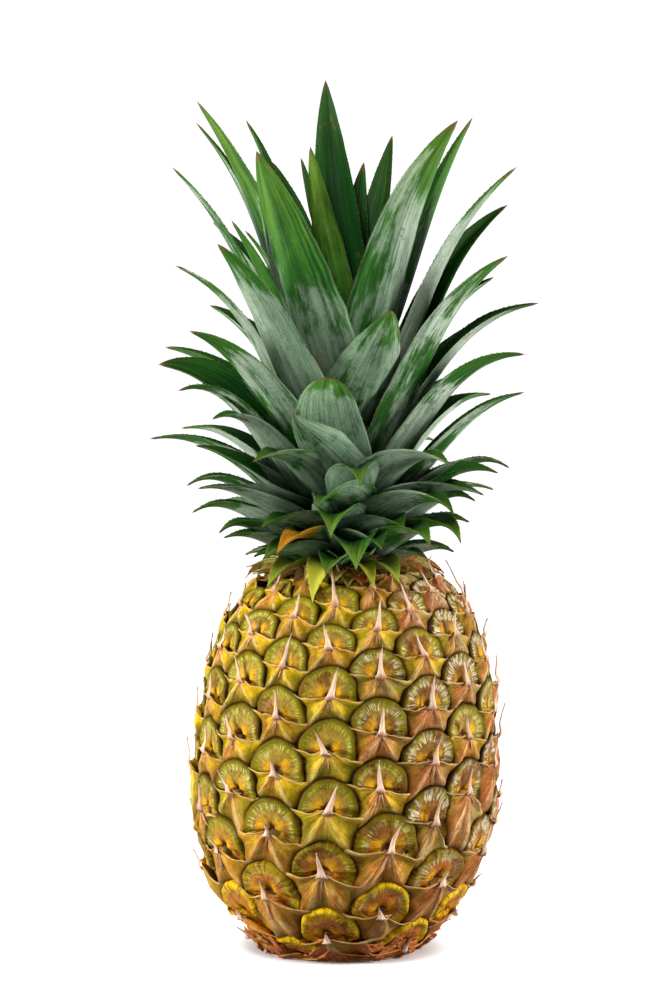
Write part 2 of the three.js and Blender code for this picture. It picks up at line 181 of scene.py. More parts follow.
class Eye:
    """One eye: its middle on the surface, its size, its cell and how far its dome goes."""

    def __init__(self, k):
        z, r, s, area, _, _ = PROFILE.at(PROFILE.eyes, k + SHIFT)
        turn = radians(TURN0 - k * STEP)
        turn += SPREAD * smooth((WAIST_Z - z) / 24) * sin(turn)
        self.k, self.turn, self.s, self.r, self.z = k, turn, s, r, z
        self.size = sqrt(area / EYE_AREA)
        self.dome = self.size * (1 + 0.12 * (draw(k, 5) - 0.5))
        self.ring = []
        self.reach = []
        self.below = []

    def local(self, turn, arc):
        r = PROFILE.at(PROFILE.s, max(0.0, arc))[1]
        return wrap(turn - self.turn) * r, arc - self.s

    def at(self, u, v, h):
        return on_skin(self.turn, self.s, u, v, h)

    def to_edge(self, angle):
        """Length of the ray from the middle to the edge of the cell."""
        cx, cy = cos(angle), sin(angle)
        best = 40.0
        for (x0, y0), (x1, y1) in zip(self.ring, self.ring[1:] + self.ring[:1]):
            dx, dy = x1 - x0, y1 - y0
            cross = cx * dy - cy * dx
            if abs(cross) < 1e-9:
                continue
            t = (x0 * dy - y0 * dx) / cross
            f = (x0 * cy - y0 * cx) / cross
            if t > 0 and -1e-6 <= f <= 1 + 1e-6:
                best = min(best, t)
        return best

    def to_bite(self, angle, far):
        """Length of the ray until it enters the dome of a lower eye, far at most."""
        cx, cy = cos(angle), sin(angle)
        t = 0.3 * far
        while t < far:
            arc = self.s + t * cy
            r = PROFILE.at(PROFILE.s, min(max(arc, 0.0), TOP_S))[1]
            for other in self.below:
                u = t * cx - wrap(other.turn - self.turn) * r
                v = arc - other.s
                if hypot(u, v) < other.dome_reach(atan2(v, u)):
                    return t
            t += BITE_STEP
        return far

    def limit(self, angle):
        """How far the dome may go: short of the cell's edge, but over it at the top."""
        up = smooth((sin(angle) - 0.12) / 0.45)
        return self.to_edge(angle) * lerp(0.94, 1.3, up)

    def find_reach(self, dome_r):
        """Table of how far the dome goes from the middle, all the way round."""
        self.reach = [min(dome_r * self.dome, self.limit(2 * pi * i / REACH_STEPS))
                      for i in range(REACH_STEPS)]

    def dome_reach(self, angle):
        return self.reach[round(REACH_STEPS * angle / (2 * pi)) % REACH_STEPS]


def list_eyes(dome_r):
    """All eyes, each with its ring of cell corners and the lower eyes that bite into it."""
    eyes = [Eye(k) for k in range(FIRST, LAST + 1)]
    count = len(eyes)
    bm = bmesh.new()
    for eye in eyes:
        bm.verts.new(on_fruit(eye.turn, eye.s, 0))
    bm.verts.new((0, 0, UNDER_BASE))
    bm.verts.new((LEAN * 160, 0, ABOVE_TOP))
    bm.verts.index_update()
    bmesh.ops.convex_hull(bm, input=bm.verts)
    for face in bm.faces:
        ids = [v.index for v in face.verts]
        ends = [eyes[i] for i in ids if i < count]
        turn = atan2(sum(sin(e.turn) for e in ends), sum(cos(e.turn) for e in ends))
        if count in ids:
            arc = UNDER_BASE
        elif count + 1 in ids:
            arc = TOP_S
        else:
            low = min(ends, key=lambda e: e.s)
            arc = sum(e.s for e in ends) / 3
            u, v = wrap(turn - low.turn) * low.r, arc - low.s
            f = min(1.0, (dome_r + 0.8) * low.dome / hypot(u, v))
            turn, arc = low.turn + f * u / low.r, low.s + f * v
        for eye in ends:
            eye.ring.append(eye.local(turn, arc))
    bm.free()
    for eye in eyes:
        eye.ring.sort(key=lambda p: atan2(p[1], p[0]))
        eye.find_reach(dome_r)
        for other in eyes:
            away = hypot(wrap(other.turn - eye.turn) * other.r, other.s - eye.s)
            if other.s < eye.s and away < NEAR * dome_r:
                eye.below.append(other)
        eye.left = min(eye.ring, key=lambda p: p[0] / hypot(*p))
        eye.right = max(eye.ring, key=lambda p: p[0] / hypot(*p))
        side = 0.5 + 0.5 * sin(eye.turn)
        low = 2.2 * (1 - smooth((eye.z + 2) / 50))
        eye.seed = draw(eye.k, 11)
        eye.dry = min(1.0, max(0.0, 0.05 + 0.6 * side ** 2 + 0.3 * low
                               + 0.45 * (draw(eye.k, 12) - 0.5)))
        eye.gold = 1 - smooth((eye.z - 14) / 34)
        eye.lift = 0.5 * (draw(eye.k, 1) - 0.5)
    return eyes


# ---------------------------------------------------------------- mesh helpers
def grid(bm, columns, rows, place):
    """Adds a grid with a vertex at each pair of columns and rows, bent into place(u, v)."""
    nx, ny = len(columns) - 1, len(rows) - 1
    made = bmesh.ops.create_grid(bm, x_segments=nx, y_segments=ny, size=0.5,
                                 matrix=Matrix.Translation((0.5, 0.5, 0)))["verts"]
    uv = bm.loops.layers.uv.verify()
    for v in made:
        v.co.x = columns[round(v.co.x * nx)]
        v.co.y = rows[round(v.co.y * ny)]
    faces = {f for v in made for f in v.link_faces}
    for f in faces:
        for loop in f.loops:
            loop[uv].uv = loop.vert.co.xy
    for v in made:
        v.co = place(v.co.x, v.co.y)
    return made, faces


def spin(curve, steps):
    """A mesh turned about the z axis from (radius, height) points."""
    bm = bmesh.new()
    verts = [bm.verts.new((0, -r, z)) for r, z in curve]
    edges = [bm.edges.new(pair) for pair in zip(verts, verts[1:])]
    bmesh.ops.spin(bm, geom=verts + edges, cent=(0, 0, 0), axis=(0, 0, 1), dvec=(0, 0, 0),
                   angle=2 * pi, steps=steps, use_merge=True, use_duplicate=False)
    return bm


def face_out(bm, faces, turn, arc):
    """Turns the faces of one sheet so that they look away from the fruit at turn and arc."""
    total = Vector()
    for f in faces:
        f.normal_update()
        total += f.normal * f.calc_area()
    if total.dot(on_fruit(turn, arc, 10) - on_fruit(turn, arc, 0)) < 0:
        bmesh.ops.reverse_faces(bm, faces=list(faces))


def even(n, low=0.0, high=1.0):
    return [low + (high - low) * i / n for i in range(n + 1)]


def start(*values):
    """An empty mesh with a UV map and the per-vertex values that the finishes read."""
    bm = bmesh.new()
    bm.loops.layers.uv.new("UVMap")
    for name in values:
        bm.verts.layers.float.new(name)
    return bm


def stain(bm, verts, **values):
    for name, value in values.items():
        layer = bm.verts.layers.float[name]
        for v in verts:
            v[layer] = value


def finish_piece(bm, name, material, closed=True):
    """Makes the object of a piece, in metres, riding on the part's one body."""
    if closed:
        bmesh.ops.remove_doubles(bm, verts=bm.verts, dist=0.004)
        bmesh.ops.recalc_face_normals(bm, faces=bm.faces)
    bmesh.ops.scale(bm, vec=(MM, MM, MM), verts=bm.verts)
    for f in bm.faces:
        f.smooth = True
    mesh = bpy.data.meshes.new(name)
    bm.to_mesh(mesh)
    bm.free()
    mesh.materials.append(material)
    piece = bpy.data.objects.new(name, mesh)
    bpy.context.scene.collection.objects.link(piece)
    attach(piece, "root")
    return piece


def drift(point):
    """Smooth noise of its own for each axis, the same in every run."""
    return Vector([noise.noise(point + Vector(away)) for away in DRIFT])


def grow_uneven(bm):
    """Gives everything on the fruit one shared, gentle unevenness, with the base kept flat."""
    for v in bm.verts:
        ease = smooth(v.co.z / 8) * smooth((TOP_Z + 4 - v.co.z) / 12)
        shift = drift(v.co * 0.042) * 1.5 + drift(v.co * 0.16) * 0.5
        v.co += shift * ease


def thicken(piece, thickness):
    wall = piece.modifiers.new("wall", "SOLIDIFY")
    wall.thickness = thickness * MM
    wall.offset = -1.0


# ---------------------------------------------------------------- finishes
WHITE = (1.0, 1.0, 1.0, 1.0)


def linear(c):
    """Linear value of an sRGB value of 0..255."""
    c /= 255
    return c / 12.92 if c <= 0.04045 else ((c + 0.055) / 1.055) ** 2.4


def paint(colour):
    """A colour for a socket: a Sock stays as it is, an sRGB triple becomes linear."""
    if isinstance(colour, Sock):
        return colour
    return tuple(linear(c) for c in colour) + (1.0,)


class Sock:
    """A shader socket that can stand in a Python sum."""

    def __init__(self, finish, socket):
        self.finish, self.socket = finish, socket

    def _math(self, operation, a, b):
        return self.finish.node("ShaderNodeMath", {"operation": operation}, {0: a, 1: b})

    def __add__(self, o): return self._math("ADD", self, o)
    def __radd__(self, o): return self._math("ADD", o, self)
    def __sub__(self, o): return self._math("SUBTRACT", self, o)
    def __rsub__(self, o): return self._math("SUBTRACT", o, self)
    def __mul__(self, o): return self._math("MULTIPLY", self, o)
    def __rmul__(self, o): return self._math("MULTIPLY", o, self)
    def __pow__(self, o): return self._math("POWER", self, o)
    def __abs__(self): return self._math("ABSOLUTE", self, 0.0)

    def ramp(self, low, high):
        """0 up to low, 1 from high on (or falling, where low is the larger)."""
        settings = {"interpolation_type": "SMOOTHSTEP", "clamp": True}
        ends = (low, high, 0.0, 1.0) if low < high else (high, low, 1.0, 0.0)
        values = dict(zip(("From Min", "From Max", "To Min", "To Max"), ends), Value=self)
        return self.finish.node("ShaderNodeMapRange", settings, values)


class Finish:
    """One material and its nodes."""

    def __init__(self, name, **constants):
        self.material = bpy.data.materials.new(name)
        self.material.use_nodes = True
        self.tree = self.material.node_tree
        self.shader = self.tree.nodes["Principled BSDF"]
        for key, value in constants.items():
            self.shader.inputs[key.replace("_", " ")].default_value = value

    def node(self, kind, settings=None, values=None, out=0):
        n = self.tree.nodes.new(kind)
        for key, value in (settings or {}).items():
            if key == "stops":
                self._stops(n.color_ramp, value)
            else:
                setattr(n, key, value)
        for key, value in (values or {}).items():
            if isinstance(value, Sock):
                self.tree.links.new(value.socket, n.inputs[key])
            else:
                n.inputs[key].default_value = value
        return Sock(self, n.outputs[out])

    def _stops(self, ramp, stops):
        while len(ramp.elements) < len(stops):
            ramp.elements.new(0.5)
        for element, (place, colour) in zip(ramp.elements, stops):
            element.position, element.color = place, colour

    def gradient(self, value, places, *colours):
        """Colours met one after another at places along value."""
        stops = list(zip(places, map(paint, colours)))
        return self.node("ShaderNodeValToRGB", {"stops": stops}, {"Fac": value})

    def mix(self, factor, a, b):
        return self.node("ShaderNodeMix", {"data_type": "RGBA", "clamp_factor": True},
                         {0: factor, 6: paint(a), 7: paint(b)}, 2)

    def layers(self, tone, *rows):
        """Colours laid over tone: a factor and a colour, or a factor and the three of a mix."""
        for factor, *colour in rows:
            tone = self.mix(factor, tone, self.mix(*colour) if len(colour) == 3 else colour[0])
        return tone

    def values(self, *names):
        """The per-vertex values of these names."""
        return [self.node("ShaderNodeAttribute", {"attribute_name": name}, out="Fac")
                for name in names]

    def uv(self):
        return self.parts(self.node("ShaderNodeTexCoord", out="UV"))

    def place(self):
        return self.node("ShaderNodeTexCoord", out="Object")

    def parts(self, vector):
        return [self.node("ShaderNodeSeparateXYZ", None, {"Vector": vector}, i) for i in range(3)]

    def noise(self, vector, scale=1.0, detail=3.0, roughness=0.55):
        return self.node("ShaderNodeTexNoise", None, {
            "Vector": vector, "Scale": scale, "Detail": detail, "Roughness": roughness})

    def grain(self, x, y, z, detail=3.0, roughness=0.55):
        """Noise that each axis stretches by its own number."""
        vector = self.node("ShaderNodeCombineXYZ", None, {"X": x, "Y": y, "Z": z})
        return self.noise(vector, 1.0, detail, roughness)

    def link(self, name, sock):
        self.tree.links.new(sock.socket, self.shader.inputs[name])

    def done(self, colour, roughness=None, height=None, distance=0.0, strength=1.0):
        """Links the shader: colour, roughness, and relief over a distance in millimetres."""
        self.link("Base Color", colour)
        if roughness is not None:
            self.link("Roughness", roughness)
        if height is not None:
            self.link("Normal", self.node("ShaderNodeBump", None, {
                "Height": height, "Distance": distance * MM, "Strength": strength}))
        return self.material


def near_base(f, skin, uneven):
    """1 on the lowest eyes, 0 from the middle of the fruit up, with an uneven limit."""
    return (f.parts(skin)[2] + uneven * 0.03).ramp(0.075, 0.02)


def dome_finish():
    """Round upper part of an eye: olive ring that darkens into the groove as painted shade, bright
    ribs partly painted as highlights, fibrous disc, gold by the spine.
    """
    f = Finish("eye_dome", Coat_Weight=0.05, Coat_Roughness=0.2, Specular_IOR_Level=0.06)
    phi, rho, _ = f.uv()
    seed, dry, gold = f.values("seed", "dry", "gold")
    shift = seed * 37.0
    fibres = f.grain(phi * 150.0, rho * 4.0, shift)
    ribs = f.grain(phi * 84.0, rho * 1.6, shift, 0.5)
    cloud = f.grain(phi * 7.0, rho * 3.5, shift, 4.0)
    coarse = f.grain(phi * 46.0, rho * 1.2, shift + 4.0, 1.0)
    skin = f.place()
    grit = f.noise(skin, 900.0, 3.0)
    mottle = f.noise(skin, 260.0, 4.0)
    blotch = f.noise(skin, 120.0, 5.0, 0.62)
    uneven = cloud - 0.5
    frayed = fibres.ramp(0.25, 0.8)
    ribbed = ribs.ramp(0.3, 0.7)
    age = dry + uneven * 1.1
    base = near_base(f, skin, uneven)

    beside = abs(abs(phi - 0.5) * 4.0 - 0.9)
    warmth = (rho + uneven * 0.4).ramp(0.6, 0.26) * beside.ramp(0.75, 0.25)
    disc = f.layers(
        f.mix(frayed, (122, 92, 12), (190, 166, 66)),
        (age.ramp(0.2, 0.7), frayed, (78, 38, 8), (166, 112, 56)),
        (blotch.ramp(0.46, 0.64) * (0.35 + dry * 0.4), (104, 58, 12)),
        (blotch.ramp(0.46, 0.36) * 0.35, (188, 176, 96)),
        # brighter orange on the lowest eyes: partly their own riper colour, partly painted bounce
        # light from the floor
        (base * 0.7, frayed, (152, 56, 4), (236, 138, 48)),
        (warmth * (1.0 - dry * 0.2), fibres.ramp(0.25, 0.75), (206, 124, 0), (250, 200, 28)),
        ((rho + uneven * 0.3).ramp(0.25, 0.1), grit, (34, 14, 2), (96, 50, 14)))

    turn = rho + (mottle - 0.5) * 0.14
    # the outer stops of both gradients darken to near black where the dome falls into the groove:
    # painted shade
    places = (0.62, 0.74, 0.84, 0.92, 0.97)
    green = f.gradient(turn, places, (174, 150, 44), (142, 130, 10), (116, 104, 0), (86, 68, 0),
                       (42, 26, 0))
    grey = f.gradient(turn, places, (168, 130, 84), (116, 88, 44), (86, 58, 10), (60, 34, 2),
                      (34, 14, 0))
    ring = f.layers(
        green,
        (age.ramp(0.45, 0.9), grey),
        # lowest eyes' rings brighter yellow: partly their own colour, partly painted bounce light
        # from the floor
        (base * 0.5, ribbed, (120, 76, 4), (196, 164, 30)),
        ((gold + uneven * 0.7).ramp(0.5, 0.95), ribbed, (188, 132, 4), (236, 196, 24)))

    band = (rho + dry * 0.22 + uneven * 0.2).ramp(0.62, 0.72) * rho.ramp(0.83, 0.75)
    # bright streaks on the ribs: a painted highlight on the rib crests of fresh eyes, papery
    # whitening on dry eyes
    rib_highlight_and_paper = (ribs + dry * 0.05).ramp(0.5, 0.6) * band * (fibres + mottle).ramp(0.8, 1.1)
    flaked = (coarse.ramp(0.5, 0.58) * dry.ramp(0.35, 0.75) * rho.ramp(0.5, 0.66)
              * rho.ramp(0.93, 0.84))
    bruise = f.noise(skin, 75.0, 3.0).ramp(0.585, 0.64) * rho.ramp(0.98, 0.8)
    tone = f.layers(
        disc,
        (rho.ramp(0.6, 0.74), ring),
        # painted rib highlight on fresh eyes, papery white on dry ones
        (rib_highlight_and_paper * ((1.0 - gold) * (0.7 + dry * 0.5)), dry, (190, 200, 100), (236, 220, 196)),
        (flaked * (1.0 - gold) * 0.85, fibres, (168, 142, 112), (240, 226, 208)),
        (mottle.ramp(0.58, 0.68) * (0.15 + dry * 0.75), (78, 36, 12)),
        (bruise * 0.75, fibres, (62, 22, 6), (140, 76, 28)),
        (grit.ramp(0.54, 0.7) * 0.35, dry, (58, 50, 0), (60, 30, 8)),
        (grit.ramp(0.44, 0.3) * rho.ramp(0.86, 0.78) * 0.14, (214, 196, 104)))
    return f.done(tone, 0.36 + 0.3 * fibres + 0.14 * dry + rho.ramp(0.9, 0.96) * 0.4,
                  fibres * 0.6 + ribs * band * 1.4 + grit * 0.25 + mottle * 0.5, 0.4, 0.9)


def bract_finish():
    """Cape under an eye: yellow wings with a green hem, and a fibrous brown wedge in the middle."""
    f = Finish("bract", Specular_IOR_Level=0.06)
    across, rho, _ = f.uv()
    seed, dry, gold, ridge = f.values("seed", "dry", "gold", "ridge")
    shift = seed * 53.0
    fibres = f.grain(across * 60.0, rho * 3.0, shift, 5.0, 0.62)
    strands = f.grain(across * 36.0, rho * 1.2, shift + 9.0)
    cloud = f.grain(across * 4.0, rho * 2.8, shift + 3.0, 4.0)
    skin = f.place()
    grit = f.noise(skin, 1100.0, 3.0)
    mottle = f.noise(skin, 210.0, 5.0, 0.66)
    blotch = f.noise(skin, 120.0, 4.0, 0.6)
    uneven, mottled = cloud - 0.5, mottle - 0.5
    frayed = fibres.ramp(0.2, 0.8)
    spread = abs(across - 0.5) * 2.0
    hornness = spread.ramp(0.4, 0.95)

    level = rho + uneven * 1.2 + mottled * 0.8 - hornness * 0.3
    places = (0.15, 0.42, 0.62, 0.9)
    yellow = f.gradient(level, places, (246, 202, 56), (214, 174, 6), (146, 128, 0), (86, 74, 0))
    olive = f.gradient(level, places, (216, 170, 96), (164, 140, 46), (116, 98, 4), (70, 52, 0))
    peachy = (fibres * 0.5 + mottle * 0.5).ramp(0.36, 0.64)
    wing = f.layers(
        yellow,
        # bright peach on the lowest bracts: partly their riper colour, partly painted bounce light
        # from the floor
        (near_base(f, skin, uneven) * 0.7, peachy, (206, 72, 12), (255, 188, 96)),
        ((dry + uneven * 0.6).ramp(0.22, 0.6), olive),
        (fibres.ramp(0.6, 0.3) * 0.5, (160, 104, 10)))
    wedge = f.layers(
        f.mix(frayed, (186, 90, 22), (252, 186, 90)),
        ((dry + mottled * 1.5).ramp(0.15, 0.6), frayed, (112, 40, 10), (222, 136, 82)))

    away = spread * 0.95 + rho * 0.5 + (fibres - 0.5) * 0.5 + mottled * 1.6
    papery = dry.ramp(0.3, 0.7) * across.ramp(0.48, 0.56) * blotch.ramp(0.4, 0.6)
    lines = strands.ramp(0.55, 0.6) * (spread + rho * 0.4).ramp(0.85, 0.25) * (0.55 + dry * 0.4)
    pale = strands.ramp(0.43, 0.38) * (spread + rho * 0.7).ramp(1.0, 0.2) * 0.75
    # darker in the hollow facets between the bract's ridges: painted shade
    facet_shade = (1.0 - ridge) * (rho * 1.2 + 0.1) + mottled * 0.5
    # lighter along the raised ridges of the bract: painted highlight
    crest_highlight = ridge.ramp(0.5, 1.0) * rho.ramp(0.1, 0.4) * (fibres + mottle).ramp(0.8, 1.15)
    shade = ((rho - 0.5) * (1.0 - spread * 0.6) + uneven * 0.3).ramp(0.1, 0.4)
    # darker towards the outer edge, where the bract dives into the groove: painted shade
    groove_shade = rho.ramp(0.82, 1.0) * (1.0 - hornness * 0.5)
    tone = f.layers(
        wing,
        ((away - dry * 1.05).ramp(0.46, 0.1), wedge),
        (papery * 0.8, fibres, (150, 116, 74), (240, 218, 186)),
        (lines, (104, 40, 14)),
        (pale, (250, 216, 176)),
        (facet_shade.ramp(0.35, 0.9) * 0.4, dry, (112, 112, 0), (104, 60, 20)),
        (crest_highlight * 0.6, dry, (248, 222, 130), (238, 206, 166)),
        (blotch.ramp(0.54, 0.62) * (0.25 + dry * 0.6), fibres, (84, 32, 0), (150, 84, 26)),
        (seed.ramp(0.6, 0.9) * 0.3, fibres, (128, 62, 16), (208, 140, 60)),
        (seed.ramp(0.4, 0.1) * 0.3, fibres, (96, 96, 0), (196, 190, 60)),
        ((rho + mottled * 0.3).ramp(0.16, 0.04) * 0.7, (92, 40, 16)),
        (grit.ramp(0.54, 0.7) * 0.35, dry, (112, 76, 4), (92, 44, 14)),
        (grit.ramp(0.44, 0.3) * 0.14, (255, 224, 132)),
        (spread.ramp(0.968, 0.996) * 0.7, fibres, (142, 86, 46), (240, 206, 150)),
        (gold.ramp(0.5, 1.0) * blotch.ramp(0.4, 0.6) * 0.7, (196, 112, 14)),
        (shade * 0.6, dry, (98, 76, 0), (114, 50, 4)),
        (groove_shade * 0.85, dry, (60, 42, 0), (64, 26, 0)))
    return f.done(tone, 0.46 + 0.3 * fibres,
                  fibres * 0.7 + strands * 0.8 + grit * 0.2 + mottle * 0.6, 0.4, 0.9)


def spine_finish():
    """Papery spine: pale, browner at its root and tip, and fibrous where it is torn."""
    f = Finish("dry_spine", Specular_IOR_Level=0.2)
    across, along, _ = f.uv()
    seed, dry = f.values("seed", "dry")
    grain = f.grain(across * 9.0, along * 1.6, seed * 41.0, 4.0)
    grit = f.noise(f.place(), 1500.0, 2.0)
    streaks = grain.ramp(0.3, 0.7)
    tone = f.layers(
        f.mix(streaks, (190, 138, 104), (250, 226, 200)),
        (along.ramp(0.22, 0.05), grain, (130, 66, 36), (226, 174, 128)),
        (along.ramp(0.8, 1.0) * 0.6, (120, 78, 54)),
        (grit.ramp(0.6, 0.72) * (0.2 + dry * 0.4), (134, 84, 58)),
        ((dry - 0.5).ramp(0.4, 1.0) * 0.8, streaks, (132, 66, 30), (232, 178, 124)))
    return f.done(tone, 0.5 + 0.2 * grain, grain + grit * 0.3, 0.2, 0.7)


def body_finish():
    """The rind seen down in the seams, straw under the crown, and the cut at the base."""
    f = Finish("rind", Roughness=0.7)
    skin = f.place()
    x, y, z = f.parts(skin)
    cloud = f.noise(skin, 120.0, 4.0)
    grit = f.noise(skin, 900.0, 3.0)
    torn = (f.grain(x * 420.0, y * 420.0, z * 70.0, 5.0, 0.66) + grit * 0.4).ramp(0.5, 0.9)
    straw = f.grain(x * 900.0, y * 900.0, z * 90.0).ramp(0.34, 0.66)
    radius = (x * x + y * y) ** 0.5
    rings = f.grain(radius * 900.0, z * 30.0, cloud * 0.6, 2.0)
    brown = f.mix(torn, (50, 20, 2), (176, 104, 46))
    tone = f.layers(
        f.mix(torn, (42, 26, 0), (142, 112, 24)),
        ((x * 9.0 + (cloud - 0.5) * 1.6 + 0.3).ramp(0.1, 0.7), brown),
        (z.ramp(0.03, 0.006), brown),
        (z.ramp(0.134, 0.142), straw, (50, 28, 8), (190, 152, 74)),
        (z.ramp(0.0022, 0.0012), rings, (104, 66, 34), (206, 170, 118)))
    return f.done(tone, None, grit + cloud + torn, 0.6, 0.9)


def leaf_finish():
    """Leaf: waxy grey bloom outside, rubbed to green in places, dark gloss inside, dry tip."""
    f = Finish("leaf", Specular_IOR_Level=0.14)
    around, along, _ = f.uv()
    seed, young, bloom, low, dried = f.values("seed", "young", "bloom", "low", "dried")
    shift = seed * 61.0
    lines = f.grain(around * 90.0, along * 1.8, shift)
    veins = f.grain(around * 220.0, along * 2.0, shift, 1.0)
    rubs = f.grain(around * 14.0, along * 5.0, shift, 9.0, 0.76)
    patches = f.grain(around * 3.0, along * 2.4, shift + 5.0)
    web = f.grain(around * 22.0, along * 14.0, shift + 2.0, 4.0, 0.6)
    skin = f.place()
    grit = f.noise(skin, 1400.0, 3.0)
    inner = around.ramp(0.495, 0.505)
    across = abs(abs(around - 0.5) - 0.25) * 4.0
    patched, lined, rubbed = patches - 0.5, lines - 0.5, rubs - 0.5

    streaks = lines * 0.45 + rubs * 0.55
    uneven = streaks.ramp(0.34, 0.66)
    lime = f.mix(uneven, (66, 108, 12), (140, 168, 56))
    green = f.layers(
        f.mix(uneven, (8, 44, 4), (54, 118, 30)),
        (patches.ramp(0.45, 0.75) * 0.5, (52, 126, 18)),
        ((young + patched * 0.8).ramp(0.35, 0.9), lime))
    bloomy = streaks.ramp(0.28, 0.72)
    wax_and_side_light = f.layers(
        f.mix(bloomy, (44, 70, 46), (140, 166, 138)),
        # the grey wax is lighter on leaves at the left and right of the crown and darker in its
        # middle: painted light and shade
        (abs(f.parts(skin)[0] + 0.004).ramp(0.012, 0.05), bloomy, (98, 124, 94), (226, 236, 218)))
    waxed = bloom + patched * 2.2 + rubbed * 1.7 - along ** 3.0 * 0.7
    cracks = abs(web - 0.5).ramp(0.012, 0.0) * patches.ramp(0.42, 0.6)
    outer = f.layers(
        green,
        (waxed.ramp(0.24, 0.56) * 0.9, wax_and_side_light),
        (cracks * 0.8, (28, 74, 26)))
    gloss = f.layers(
        f.mix(lines.ramp(0.25, 0.75), (2, 26, 4), (22, 84, 22)),
        (patches.ramp(0.45, 0.8) * (0.35 + young * 0.4), (40, 116, 40)))

    ripe = (along + lined * 0.2 + rubbed * 0.3).ramp(0.55, 0.95)
    burnt = (along + rubbed * 0.3 + dried - 1.0).ramp(0.4, 0.65)
    fibrous = (lines * 0.5 + rubs * 0.5).ramp(0.3, 0.65)
    scars = (rubs * 0.6 + f.noise(skin, 170.0, 5.0, 0.65) * 0.6).ramp(0.69, 0.75)
    tip = (along + lined * 0.1 + seed * 0.03).ramp(0.965, 1.0)
    tone = f.layers(
        outer,
        (inner, gloss),
        (ripe * (0.06 + low * 0.12 + young * 0.65), lime),
        ((young - 1.0).ramp(0.0, 0.5) * along.ramp(0.2, 0.6), (182, 178, 56)),
        (burnt, fibrous, (96, 42, 4), (226, 156, 40)),
        # darker towards the root, where the leaves crowd together: painted shade
        (along.ramp(0.45, 0.05) * 0.75, (10, 26, 8)),
        (grit.ramp(0.56, 0.72) * 0.3, (24, 52, 20)),
        (across.ramp(0.9, 0.985) * 0.75, lines, (14, 40, 12), (110, 136, 76)),
        (scars * 0.65, (104, 92, 50)),
        (tip * 0.9, lines, (60, 42, 24), (128, 100, 62)))
    return f.done(tone, 0.5 - 0.06 * inner + 0.16 * lines,
                  lines * 0.35 + veins * 0.35 + grit * 0.15 + rubs * 0.4, 0.25, 0.8)


def shaded_stem_finish():
    """Core between the leaf roots, painted dark green as the shade among the leaves."""
    f = Finish("crown_stem", Roughness=0.7)
    cells = f.noise(f.place(), 300.0, 4.0)
    return f.done(f.mix(cells, (12, 24, 8), (66, 82, 42)), None, cells, 0.5, 0.8)


def dry_leaf_finish(name="dry_leaf", age=0.0):
    """Withered leaf or scale: greenish at first, then straw, then brown."""
    f = Finish(name, Specular_IOR_Level=0.2)
    around, along, _ = f.uv()
    seed, = f.values("seed")
    lines = f.grain(around * 60.0, along * 1.5, seed * 47.0, 4.0)
    cloud = f.noise(f.place(), 160.0, 3.0)
    streaks = lines.ramp(0.3, 0.7)
    aged = along + (cloud - 0.5) * 0.9 + (seed - 0.5) * 1.9 + age
    tone = f.layers(
        f.mix(streaks, (112, 104, 20), (206, 194, 104)),
        (aged.ramp(0.1, 0.7), streaks, (168, 128, 48), (236, 210, 142)),
        (aged.ramp(0.8, 1.2), streaks, (124, 50, 14), (230, 140, 74)))
    return f.done(tone, 0.6 + 0.2 * lines, lines, 0.3, 0.8)


def tooth_finish():
    """Horny teeth, dark to straw."""
    f = Finish("leaf_tooth", Roughness=0.5)
    return f.done(f.mix(f.noise(f.place(), 700.0, 2.0), (16, 40, 12), (124, 134, 76)))


def backdrop_finish():
    """Even white light."""
    return Finish("backdrop", Base_Color=WHITE, Roughness=0.9, Emission_Color=WHITE,
                  Emission_Strength=1.0).material


def floor_finish():
    """White floor that only shades close to the part, and is lit evenly from there on."""
    f = Finish("floor", Base_Color=(0.9, 0.9, 0.9, 1.0), Roughness=0.9, Emission_Strength=1.0,
               Specular_IOR_Level=0.0)
    x, y, _ = f.parts(f.place())
    glow = ((x * x + y * y) ** 0.5).ramp(0.03, 0.054)
    f.link("Emission Color", f.mix(glow, (0, 0, 0), (255, 255, 255)))
    return f.material


# ---------------------------------------------------------------- sizes a user may change
class PineappleFruit(bpy.types.PropertyGroup):
    dome_radius: bpy.props.FloatProperty(
        name="Dome radius", description="Radius of the round upper part of an eye",
        default=0.0126, min=0.008, max=0.014, subtype="DISTANCE", unit="LENGTH")
    groove: bpy.props.FloatProperty(
        name="Groove", description="Depth of the seams between eyes",
        default=0.0032, min=0.001, max=0.006, subtype="DISTANCE", unit="LENGTH")
    spine: bpy.props.FloatProperty(
        name="Spine", description="Length of the dry spine of a full-grown eye",
        default=0.011, min=0.004, max=0.016, subtype="DISTANCE", unit="LENGTH")


class PineappleCrown(bpy.types.PropertyGroup):
    blade: bpy.props.FloatProperty(
        name="Blade", description="Thickness of a leaf in the middle of its root",
        default=0.0022, min=0.001, max=0.004, subtype="DISTANCE", unit="LENGTH")
    tooth_pitch: bpy.props.FloatProperty(
        name="Tooth pitch", description="Distance between the teeth of a leaf's edge",
        default=0.0028, min=0.002, max=0.01, subtype="DISTANCE", unit="LENGTH")


class PineappleStage(bpy.types.PropertyGroup):
    key: bpy.props.FloatProperty(
        name="Key light", description="Power of the large front light", default=9.0,
        min=0.0, subtype="POWER", unit="POWER")
    side: bpy.props.FloatProperty(
        name="Side lights", description="Power of each light at the side", default=13.0,
        min=0.0, subtype="POWER", unit="POWER")
    fill: bpy.props.FloatProperty(
        name="Fill", description="Strength of the even light from all round", default=0.1,
        min=0.0, max=2.0)


